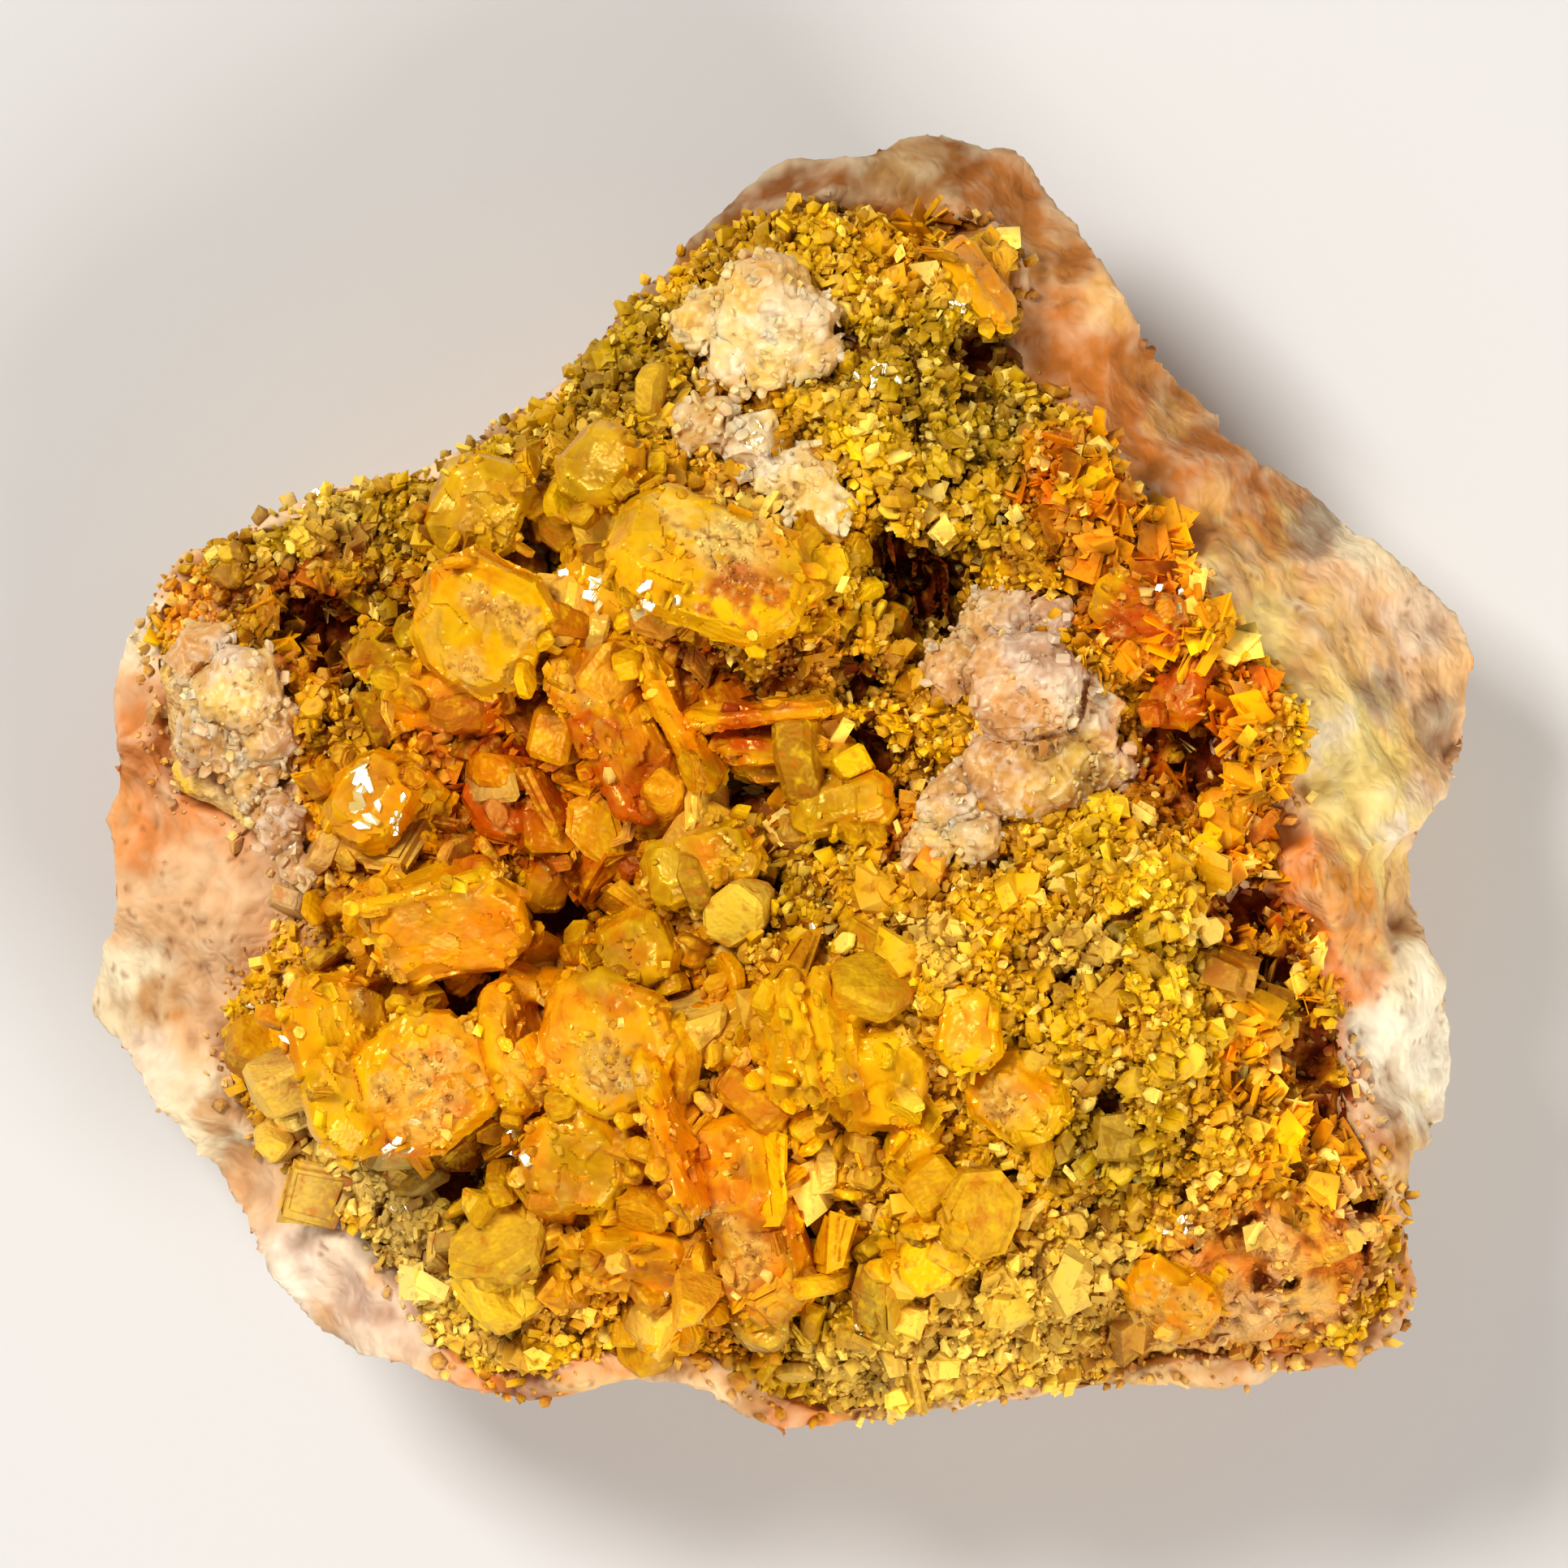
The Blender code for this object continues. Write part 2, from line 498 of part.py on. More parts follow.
def raise_druse(bm, crystals, rng):
    """Raises a small, leaning, flat-topped crystal on most quads that no large crystal covers."""
    for face in list(bm.faces):
        lift = Vector((0, 0, rng.uniform(*DRUSE_HEIGHT)))
        width = rng.uniform(*DRUSE_TOP)
        lean = Euler([math.radians(rng.uniform(-DRUSE_LEAN, DRUSE_LEAN)) for _ in range(3)])
        if rng.random() > DRUSE_SHARE or any(e.is_boundary for e in face.edges):
            continue
        centre = face.calc_center_median()
        feet = [v.co.copy() for v in face.verts]
        top = [centre + lift + width * (lean.to_matrix() @ (foot - centre)) for foot in feet]
        walls = itertools.product(feet, top)
        edges = itertools.combinations(top, 2)
        if not is_clear(crystals, [*walls, *edges]):
            continue
        bmesh.ops.inset_individual(bm, faces=[face], thickness=DRUSE_FOOT)
        for vertex, place in zip(face.verts, top):
            vertex.co = place


def crust_edge_height(x, y, share):
    """The crust's underside keeps the same distance to the stone everywhere."""
    return surface_height(x, y) - CRUST_THICKNESS


def make_crust(crystals, material):
    reach = CRUST_GRID / GRID
    bm = wrapped_grid(CRUST_GRID, reach, lambda x, y, share: surface_height(x, y))
    raise_druse(bm, crystals, random.Random(SEED))
    under = wrapped_grid(CRUST_GRID, reach, crust_edge_height)
    below = bpy.data.meshes.new("underside")
    under.to_mesh(below)
    under.free()
    bm.from_mesh(below)
    bmesh.ops.bridge_loops(bm, edges=[e for e in bm.edges if e.is_boundary])
    finish_solid(bm)
    return add_object("druse_crust", bm, material)


def stand_on_origin(objects):
    """Moves everything so that the middle of the box is over the origin and the base is at 0."""
    bpy.context.view_layer.update()
    graph = bpy.context.evaluated_depsgraph_get()
    corners = []
    for obj in objects:
        evaluated = obj.evaluated_get(graph)
        corners += [evaluated.matrix_world @ Vector(c) for c in evaluated.bound_box]
    low = Vector(map(min, zip(*corners)))
    high = Vector(map(max, zip(*corners)))
    shift = Vector(((low.x + high.x) / 2, (low.y + high.y) / 2, low.z))
    for obj in bpy.data.objects:
        obj.matrix_world = Matrix.Translation(-shift) @ obj.matrix_world


def main():
    clear_scene()
    noise.seed_set(SEED)  # noise_vector strays by the clock without it
    stone_material = make_material("stone", (0.72, 0.50, 0.34), 0.85)
    crust_material = make_material("crust", (0.72, 0.45, 0.05), 0.6)
    wulfenite_material = make_material("wulfenite", (0.86, 0.46, 0.02), 0.3)
    calcite_material = make_material("calcite", (0.86, 0.74, 0.58), 0.5)
    trim = make_trim(stone_material)
    crystals = make_wulfenite(trim, wulfenite_material) + make_calcite(trim, calcite_material)
    stone = make_stone(stone_material)
    crust = make_crust(crystal_tree(crystals), crust_material)
    stand_on_origin([stone, crust, *crystals])


main()
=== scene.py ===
import itertools
import json
import math
import time

import bpy
import numpy as np
from mathutils import Matrix, Vector
from mathutils.kdtree import KDTree

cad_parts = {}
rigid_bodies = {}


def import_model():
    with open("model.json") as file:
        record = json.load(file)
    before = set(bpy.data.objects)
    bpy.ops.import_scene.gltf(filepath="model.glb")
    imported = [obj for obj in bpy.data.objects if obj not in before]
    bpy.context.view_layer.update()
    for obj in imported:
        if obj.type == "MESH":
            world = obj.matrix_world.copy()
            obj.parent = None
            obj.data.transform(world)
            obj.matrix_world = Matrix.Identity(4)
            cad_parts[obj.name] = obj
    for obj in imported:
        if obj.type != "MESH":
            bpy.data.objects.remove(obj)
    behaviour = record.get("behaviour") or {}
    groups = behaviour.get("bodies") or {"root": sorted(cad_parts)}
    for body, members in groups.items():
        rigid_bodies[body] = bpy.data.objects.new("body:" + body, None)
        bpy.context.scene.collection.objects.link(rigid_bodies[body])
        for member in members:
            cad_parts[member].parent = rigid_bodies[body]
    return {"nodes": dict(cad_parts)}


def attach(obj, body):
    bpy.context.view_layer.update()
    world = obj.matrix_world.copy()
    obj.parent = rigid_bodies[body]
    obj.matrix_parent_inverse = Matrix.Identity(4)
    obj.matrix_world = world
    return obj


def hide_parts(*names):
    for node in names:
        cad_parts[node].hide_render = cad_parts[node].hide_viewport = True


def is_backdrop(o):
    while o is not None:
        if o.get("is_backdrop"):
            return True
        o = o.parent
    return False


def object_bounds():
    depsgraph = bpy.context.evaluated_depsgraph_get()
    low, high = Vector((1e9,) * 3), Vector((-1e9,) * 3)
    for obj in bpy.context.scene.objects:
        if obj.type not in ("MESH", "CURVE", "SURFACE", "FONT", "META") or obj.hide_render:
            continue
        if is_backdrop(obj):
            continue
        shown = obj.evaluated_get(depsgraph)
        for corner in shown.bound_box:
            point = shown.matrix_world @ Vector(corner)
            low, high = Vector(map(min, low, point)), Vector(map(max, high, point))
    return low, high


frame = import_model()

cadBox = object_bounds()
mm = 0.001
mergeWithin = 0.001 * mm
started = time.time()

palette = {
    "amber": "f49400", "gold": "fcb400", "deepAmber": "c86000", "lemon": "ffcc10", "straw": "ffd660",
    "olive": "8c6c04", "darkOlive": "453408", "moss": "b88804", "rust": "963800", "orange": "fc8404",
    "ochre": "c27808", "shade": "3a1202", "cream": "eec28e", "pink": "e8b07a", "blush": "d69c64",
    "tan": "b27034", "clay": "8a4c18", "chalk": "f8e6bc", "shadeGrey": "8e7a64", "wine": "561400",
    "beige": "e0a848", "honey": "fcac08", "umber": "4a2404", "fire": "e85c00", "pearl": "f4d098",
    "sienna": "9c5c22", "sand": "ecb866", "brown": "683a12", "stain": "e07a20", "white": "fdf4de",
    "butter": "f8d878", "rose": "ecd0b4", "bronze": "a05c20", "gapShade": "5e0e00",
    "ember": "c64200", "peach": "eab884", "apricot": "e8a45c", "creviceShade": "8c2400",
}


def screenColor(name):
    digits = palette[name]
    parts = [int(digits[i : i + 2], 16) / 255 for i in (0, 2, 4)]
    return np.array([p / 12.92 if p <= 0.04045 else ((p + 0.055) / 1.055) ** 2.4 for p in parts])


def socketColor(name):
    return (*screenColor(name), 1)


def say(*words):
    print(f"{time.time() - started:6.1f} s", *words, flush=True)


def triangleCount(*pieces):
    return sum(len(p.data.loops) - 2 * len(p.data.polygons) for p in pieces)


def choose(*objects):
    # with no objects, it only clears the selection
    bpy.ops.object.select_all(action="DESELECT")
    for obj in objects:
        obj.select_set(True)
    if objects:
        bpy.context.view_layer.objects.active = objects[0]


def applyModifier(obj, kind, **values):
    choose(obj)
    modifier = obj.modifiers.new(kind.lower(), kind)
    for key, value in values.items():
        setattr(modifier, key, value)
    bpy.ops.object.modifier_apply(modifier=modifier.name)


def startEdit():
    bpy.ops.object.mode_set(mode="EDIT")
    bpy.ops.mesh.select_all(action="SELECT")


def duplicate(obj):
    twin = obj.copy()
    twin.data = obj.data.copy()
    bpy.context.scene.collection.objects.link(twin)
    return twin


def joinPieces(name, pieces):
    choose(*pieces)
    if len(pieces) > 1:
        bpy.ops.object.join()
    pieces[0].name = pieces[0].data.name = name
    return pieces[0]


def copyNode(nodeName, pieceName, voxel, softening):
    # a copy of the solid with a fine, even mesh and softened edges
    piece = duplicate(frame["nodes"][nodeName])
    piece.name = piece.data.name = pieceName
    piece.data.materials.clear()
    piece.parent = None
    choose(piece)
    startEdit()
    bpy.ops.mesh.remove_doubles(threshold=mergeWithin)
    bpy.ops.object.mode_set(mode="OBJECT")
    applyModifier(piece, "REMESH", mode="VOXEL", voxel_size=voxel)
    applyModifier(piece, "SMOOTH", factor=0.5, iterations=softening)
    return piece


def roughen(piece, relief, groupName=""):
    # relief: the kind of noise, its size and depth in mm, and the value that stays in place
    for kind, size, depth, middle in relief:
        texture = bpy.data.textures.new("relief", kind)
        texture.noise_scale = size * mm
        applyModifier(piece, "DISPLACE", texture=texture, strength=depth * mm, mid_level=middle,
                      vertex_group=groupName)
    piece.vertex_groups.clear()


def thinOut(obj, triangles):
    # flat faces go first
    if triangleCount(obj) > triangles:
        applyModifier(obj, "DECIMATE", ratio=triangles / triangleCount(obj))


def shadeByAngle(obj, degrees):
    choose(obj)
    bpy.ops.object.shade_smooth_by_angle(angle=math.radians(degrees))


def dress(piece, material, slotName, *nodeNames):
    piece.data.materials.clear()
    piece.data.materials.append(material)
    if nodeNames:
        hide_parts(*nodeNames)
    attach(piece, "root")


# Numbers on a mesh's vertices: lengths here are in mm

def readVertices(obj, what="co"):
    values = np.empty(len(obj.data.vertices) * 3)
    obj.data.vertices.foreach_get(what, values)
    return values.reshape(-1, 3) / (mm if what == "co" else 1)


def readSurface(obj):
    return readVertices(obj), readVertices(obj, "normal")


def writeVertices(obj, points):
    obj.data.vertices.foreach_set("co", (points * mm).ravel())
    obj.data.update()


def groupVertices(obj, name, weights):
    group = obj.vertex_groups.new(name=name)
    levels = np.round(np.clip(weights, 0, 1) * 10).astype(int)
    for level in range(1, 11):
        group.add(np.flatnonzero(levels == level).tolist(), level / 10, "REPLACE")


def neighbourMean(values, pairs, count):
    total = values.copy()
    for column in range(3):
        total[:, column] += np.bincount(pairs[:, 0], values[pairs[:, 1], column], len(values))
        total[:, column] += np.bincount(pairs[:, 1], values[pairs[:, 0], column], len(values))
    return total / count[:, None]


def readRelief(obj, rounds, depth):
    # how far each vertex stands out of the surface around it: 1 on ridges, -1 in hollows
    pairs = np.empty(len(obj.data.edges) * 2, np.int64)
    obj.data.edges.foreach_get("vertices", pairs)
    pairs = pairs.reshape(-1, 2)
    points = readVertices(obj)
    count = 1 + np.bincount(pairs.ravel(), minlength=len(points))
    smoothed = points
    for _ in range(rounds):
        smoothed = neighbourMean(smoothed, pairs, count)
    return np.clip(((points - smoothed) * readVertices(obj, "normal")).sum(axis=1) / depth, -1, 1)


scramble = (73856093, 19349663, 83492791, 1274126177)  # large numbers that mix up a grid corner's place


def cloud(points, size, seed):
    # random values, about -1 to 1, that change smoothly from cell to cell of this size in mm
    total = np.zeros(len(points))
    for fineness, share in ((1.0, 1.1), (2.17, 0.55)):
        place = points * fineness / size + 31.7 * seed + 500
        corner = np.floor(place).astype(np.int64)
        part = place - corner
        part = part * part * (3 - 2 * part)
        ends = [((corner[:, a] + b) * scramble[a], part[:, a] if b else 1 - part[:, a])
                for a in range(3) for b in range(2)]
        corners = itertools.product(ends[:2], ends[2:4], ends[4:])
        for (keyX, shareX), (keyY, shareY), (keyZ, shareZ) in corners:
            key = keyX + keyY + keyZ
            key = (key ^ (key >> 13)) * scramble[3]
            value = ((key ^ (key >> 16)) & 0xFFFF) / 0x7FFF - 1
            total += share * value * shareX * shareY * shareZ
    return total


def blobWeight(points, blobs, stray):
    # 1 inside any of the blobs (x, y, radius in mm), 0 past 1.2 of the radius, with an edge that strays
    weight = np.zeros(len(points))
    for x, y, radius in blobs:
        away = np.hypot(points[:, 0] - x, points[:, 1] - y) / radius + stray
        weight = np.maximum(weight, np.clip((1.2 - away) / 0.45, 0, 1))
    return weight


def paintZones(points, colors, zones):
    # each zone: a colour's name, its strength and the blobs it covers
    for number, (name, strength, blobs) in enumerate(zones):
        ragged = 0.4 * (cloud(points, 1.9, number) + 0.6 * cloud(points, 0.55, number + 50))
        weight = strength * blobWeight(points, blobs, ragged)[:, None]
        colors = colors * (1 - weight) + screenColor(name) * weight
    return colors


def zoneColors(points, base, zones):
    return paintZones(points, np.tile(screenColor(base), (len(points), 1)), zones)


def layColors(colors, *layers):
    # each layer is a colour's name and how much of it every vertex takes
    for name, weight in layers:
        weight = np.clip(weight, 0, 1)[:, None]
        colors = colors * (1 - weight) + screenColor(name) * weight
    return colors


def writeColors(obj, attributeName, colors):
    attribute = obj.data.attributes.new(attributeName, "FLOAT_COLOR", "POINT")
    values = np.column_stack([np.clip(colors, 0, 1), np.ones(len(colors))])
    attribute.data.foreach_set("color", values.astype(np.float32).ravel())


def writeNumbers(obj, attributeName, numbers):
    attribute = obj.data.attributes.new(attributeName, "FLOAT", "POINT")
    attribute.data.foreach_set("value", np.clip(numbers, 0, 1).astype(np.float32))


# Materials: each mineral takes its colour from the mesh and its fine grain from two shared groups

def newGroup(name, inputs, outputs):
    group = bpy.data.node_groups.new(name, "ShaderNodeTree")
    for socketName, kind in inputs:
        group.interface.new_socket(socketName, in_out="INPUT", socket_type=kind)
    for socketName, kind in outputs:
        group.interface.new_socket(socketName, in_out="OUTPUT", socket_type=kind)
    return group, group.nodes.new("NodeGroupInput"), group.nodes.new("NodeGroupOutput")


def fillInputs(tree, node, inputs):
    # an input takes another node's output or a plain value
    for key, source in inputs.items():
        if isinstance(source, bpy.types.NodeSocket):
            tree.links.new(source, node.inputs[key])
        else:
            node.inputs[key].default_value = source


def addNode(tree, kind, inputs, **values):
    node = tree.nodes.new(kind)
    for key, value in values.items():
        setattr(node, key, value)
    fillInputs(tree, node, inputs)
    return node


def mixNode(tree, factor, first, second):
    # a colour mix has its factor at input 0, its colours at 6 and 7, and its result at output 2
    return addNode(tree, "ShaderNodeMix", {0: factor, 6: first, 7: second}, data_type="RGBA").outputs[2]


def mathNode(tree, operation, first, second):
    return addNode(tree, "ShaderNodeMath", {0: first, 1: second}, operation=operation).outputs[0]


def meshAttribute(tree, name, output="Fac"):
    return addNode(tree, "ShaderNodeAttribute", {}, attribute_name=name).outputs[output]


def noiseNode(tree, scale, **inputs):
    place = tree.nodes.new("ShaderNodeTexCoord").outputs["Object"]
    return addNode(tree, "ShaderNodeTexNoise", {"Vector": place, "Scale": scale, **inputs}).outputs["Fac"]


def rangeNode(tree, value, lowFrom, highFrom, lowTo, highTo):
    return addNode(tree, "ShaderNodeMapRange", {
        "Value": value, "From Min": lowFrom, "From Max": highFrom, "To Min": lowTo, "To Max": highTo,
    }).outputs["Result"]


def buildVeining():
    # light patches and dark specks over a colour, from one noise
    group, start, end = newGroup(
        "veining",
        [("Color", "NodeSocketColor"), ("Size", "NodeSocketFloat"), ("Patches", "NodeSocketFloat"),
         ("Specks", "NodeSocketFloat"), ("Light", "NodeSocketColor"), ("Dark", "NodeSocketColor")],
        [("Color", "NodeSocketColor")],
    )
    noise = noiseNode(group, start.outputs["Size"], Detail=2.0, Roughness=0.75)
    color = start.outputs["Color"]
    for low, high, share, name in ((0.5, 0.68, "Patches", "Light"), (0.44, 0.32, "Specks", "Dark")):
        weight = rangeNode(group, noise, low, high, 0.0, 1.0)
        weight = mathNode(group, "MULTIPLY", weight, start.outputs[share])
        color = mixNode(group, weight, color, start.outputs[name])
    group.links.new(color, end.inputs["Color"])
    return group


def buildGrit():
    # one height: fine creases over short waves
    group, start, end = newGroup("grit", [("Size", "NodeSocketFloat"), ("Creases", "NodeSocketFloat")],
                                 [("Height", "NodeSocketFloat")])
    waves = noiseNode(group, start.outputs["Size"], Detail=1.0, Roughness=0.6)
    fine = noiseNode(group, mathNode(group, "MULTIPLY", start.outputs["Size"], 1.7), Detail=0.0)
    ridge = mathNode(group, "ABSOLUTE", mathNode(group, "SUBTRACT", fine, 0.5), 0.0)
    depth = mathNode(group, "MULTIPLY", ridge, start.outputs["Creases"])
    group.links.new(mathNode(group, "ADD", waves, depth), end.inputs["Height"])
    return group


veining = buildVeining()
grit = buildGrit()


def varyGrains(tree, color, tone, settings):
    # each grain is lighter or darker, redder or yellower than its neighbours; painted shade makes it darker
    # and redder at its foot, and a painted glow makes it lighter and yellower at its tip
    tip = meshAttribute(tree, "tip")
    for share, name in (
        (rangeNode(tree, tone, 0.86, 0.92, 0.0, settings["strayShare"]), "strayColor"),
        (rangeNode(tree, tip, 0.6, 1.0, 0.0, settings["tipGlowShare"]), "tipGlowColor"),
        (rangeNode(tree, tip, 0.0, 0.6, settings["footShadeShare"], 0.0), "footShadeColor"),
    ):
        color = mixNode(tree, share, color, socketColor(settings[name]))
    light = mathNode(tree, "MULTIPLY", rangeNode(tree, tone, 0.0, 1.0, *settings["brightness"]),
                     rangeNode(tree, tip, 0.05, 0.65, settings["footShadeLevel"], 1.0))
    hue = rangeNode(tree, tone, 0.0, 1.0, *settings["hue"])
    inputs = {"Color": color, "Value": light, "Hue": hue}
    return addNode(tree, "ShaderNodeHueSaturation", inputs).outputs["Color"]


def makeMineral(name, settings):
    material = bpy.data.materials.new(name)
    material.use_nodes = True
    tree = material.node_tree
    shader = tree.nodes["Principled BSDF"]
    color = meshAttribute(tree, "tint", "Color")
    wear = meshAttribute(tree, settings["wearFrom"])
    if "brightness" in settings:
        color = varyGrains(tree, color, wear, settings)
    veins = addNode(tree, "ShaderNodeGroup", {
        "Color": color, "Size": settings["patchScale"],
        "Patches": settings["patches"], "Light": socketColor(settings["light"]),
        "Specks": settings["specks"], "Dark": socketColor(settings["dark"]),
    }, node_tree=veining)
    inputs = {
        "Base Color": veins.outputs["Color"],
        "Roughness": rangeNode(tree, wear, 0.0, 1.0, *settings["roughness"]),
        "IOR": settings["ior"], "Specular IOR Level": settings["shine"],
        "Specular Tint": socketColor(settings.get("shineColor", "white")),
        "Transmission Weight": settings.get("transmission", 0.0),
        "Coat Weight": settings.get("coat", 0.0), "Coat Roughness": 0.06,
    }
    if "bump" in settings:
        relief = addNode(tree, "ShaderNodeGroup", {
            "Size": settings["reliefScale"], "Creases": settings["creases"]}, node_tree=grit)
        inputs["Normal"] = addNode(tree, "ShaderNodeBump", {
            "Height": relief.outputs["Height"], "Strength": settings["bump"],
            "Distance": settings["bumpDepth"] * mm}).outputs["Normal"]
    if "glow" in settings:
        inputs["Subsurface Weight"] = settings["glow"]
        inputs["Subsurface Radius"] = (1.0, 0.62, 0.3)  # red goes deepest
        inputs["Subsurface Scale"] = settings["glowDepth"] * mm
    fillInputs(tree, shader, inputs)
    return material


# scales count cells in a metre, depths are in mm, and pairs are the values at 0 and 1 of the wearFrom mark
stoneFinish = makeMineral("buffStone", {
    "wearFrom": "wear", "patchScale": 520.0, "patches": 0.25, "specks": 0.3,
    "dark": "clay", "light": "chalk",
    "reliefScale": 1500.0, "creases": 1.2, "bump": 0.5, "bumpDepth": 0.2, "roughness": (0.6, 0.85),
    "ior": 1.5, "shine": 0.2,
})
crustFinish = makeMineral("ochreCrust", {
    "wearFrom": "wear", "patchScale": 1500.0, "patches": 0.3, "specks": 0.5,
    "dark": "wine", "light": "ochre",
    "reliefScale": 3200.0, "creases": 1.5, "bump": 0.6, "bumpDepth": 0.12, "roughness": (0.45, 0.8),
    "shineColor": "butter", "ior": 1.5, "shine": 0.3,
})
amberFinish = makeMineral("amberCrystal", {
    "wearFrom": "wear", "patchScale": 1100.0, "patches": 0.25, "specks": 0.3, "dark": "deepAmber",
    "light": "lemon", "reliefScale": 3000.0, "creases": 0.8, "bump": 0.3, "bumpDepth": 0.08,
    "roughness": (0.17, 0.7), "shineColor": "butter", "ior": 1.6, "shine": 0.5, "transmission": 0.15,
})
calciteFinish = makeMineral("paleCalcite", {
    "wearFrom": "wear", "patchScale": 900.0, "patches": 0.3, "specks": 0.2,
    "dark": "tan", "light": "white",
    "reliefScale": 3600.0, "creases": 1.0, "bump": 0.35, "bumpDepth": 0.08, "roughness": (0.22, 0.5),
    "ior": 1.5, "shine": 0.4, "shineColor": "chalk", "glow": 0.5, "glowDepth": 0.7,
})
tabletFinish = makeMineral("smallTablets", {
    "wearFrom": "tone", "brightness": (0.64, 1.2), "hue": (0.489, 0.513), "footShadeLevel": 0.6,
    "footShadeColor": "ember", "footShadeShare": 0.6,
    "strayColor": "butter", "strayShare": 0.3, "tipGlowColor": "gold", "tipGlowShare": 0.25,
    "patchScale": 1700.0, "patches": 0.5, "specks": 0.55, "dark": "deepAmber", "light": "lemon",
    "reliefScale": 2400.0, "creases": 1.0, "bump": 0.6, "bumpDepth": 0.12, "roughness": (0.6, 0.24),
    "shineColor": "butter", "ior": 1.6, "shine": 0.4, "transmission": 0.1,
})
bladeFinish = makeMineral("rustBlades", {
    "wearFrom": "tone", "brightness": (0.75, 1.45), "hue": (0.488, 0.516), "footShadeLevel": 0.45,
    "footShadeColor": "wine", "footShadeShare": 0.5,
    "strayColor": "butter", "strayShare": 0.6, "tipGlowColor": "honey", "tipGlowShare": 0.4,
    "patchScale": 2400.0, "patches": 0.3, "specks": 0.3, "dark": "wine", "light": "honey",
    "roughness": (0.7, 0.3), "shineColor": "butter", "ior": 1.6, "shine": 0.25,
})
grainFinish = makeMineral("druseGrains", {
    "wearFrom": "tone", "brightness": (0.6, 1.22), "hue": (0.488, 0.512), "footShadeLevel": 0.5,
    "footShadeColor": "rust", "footShadeShare": 0.55,
    "strayColor": "butter", "strayShare": 0.5, "tipGlowColor": "straw", "tipGlowShare": 0.3,
    "patchScale": 2600.0, "patches": 0.3, "specks": 0.35, "dark": "rust", "light": "lemon",
    "roughness": (0.6, 0.26), "shineColor": "butter", "ior": 1.6, "shine": 0.3,
})
crumbFinish = makeMineral("crumbs", {
    "wearFrom": "tone", "brightness": (0.58, 1.2), "hue": (0.488, 0.512), "footShadeLevel": 0.6,
    "footShadeColor": "rust", "footShadeShare": 0.4,
    "strayColor": "butter", "strayShare": 0.4, "tipGlowColor": "straw", "tipGlowShare": 0.2,
    "patchScale": 3500.0, "patches": 0.2, "specks": 0.3, "dark": "umber", "light": "straw",
    "roughness": (0.8, 0.45), "shineColor": "butter", "ior": 1.5, "shine": 0.3,
})
sparFinish = makeMineral("calciteSpar", {
    "wearFrom": "tone", "brightness": (0.9, 1.06), "hue": (0.495, 0.505), "footShadeLevel": 0.9,
    "footShadeColor": "peach", "footShadeShare": 0.6,
    "strayColor": "straw", "strayShare": 0.5, "tipGlowColor": "chalk", "tipGlowShare": 0.3,
    "patchScale": 1500.0, "patches": 0.25, "specks": 0.15, "dark": "sand", "light": "white",
    "roughness": (0.5, 0.2), "ior": 1.5, "shine": 0.4, "shineColor": "chalk", "glow": 0.4, "glowDepth": 0.6,
})
facetFinish = makeMineral("clearFacets", {
    "wearFrom": "tone", "patchScale": 2000.0, "patches": 0.3, "specks": 0.1,
    "dark": "beige", "light": "white",
    "roughness": (0.06, 0.14), "ior": 1.6, "shine": 0.5, "transmission": 0.4, "coat": 0.5,
})
say("materials")


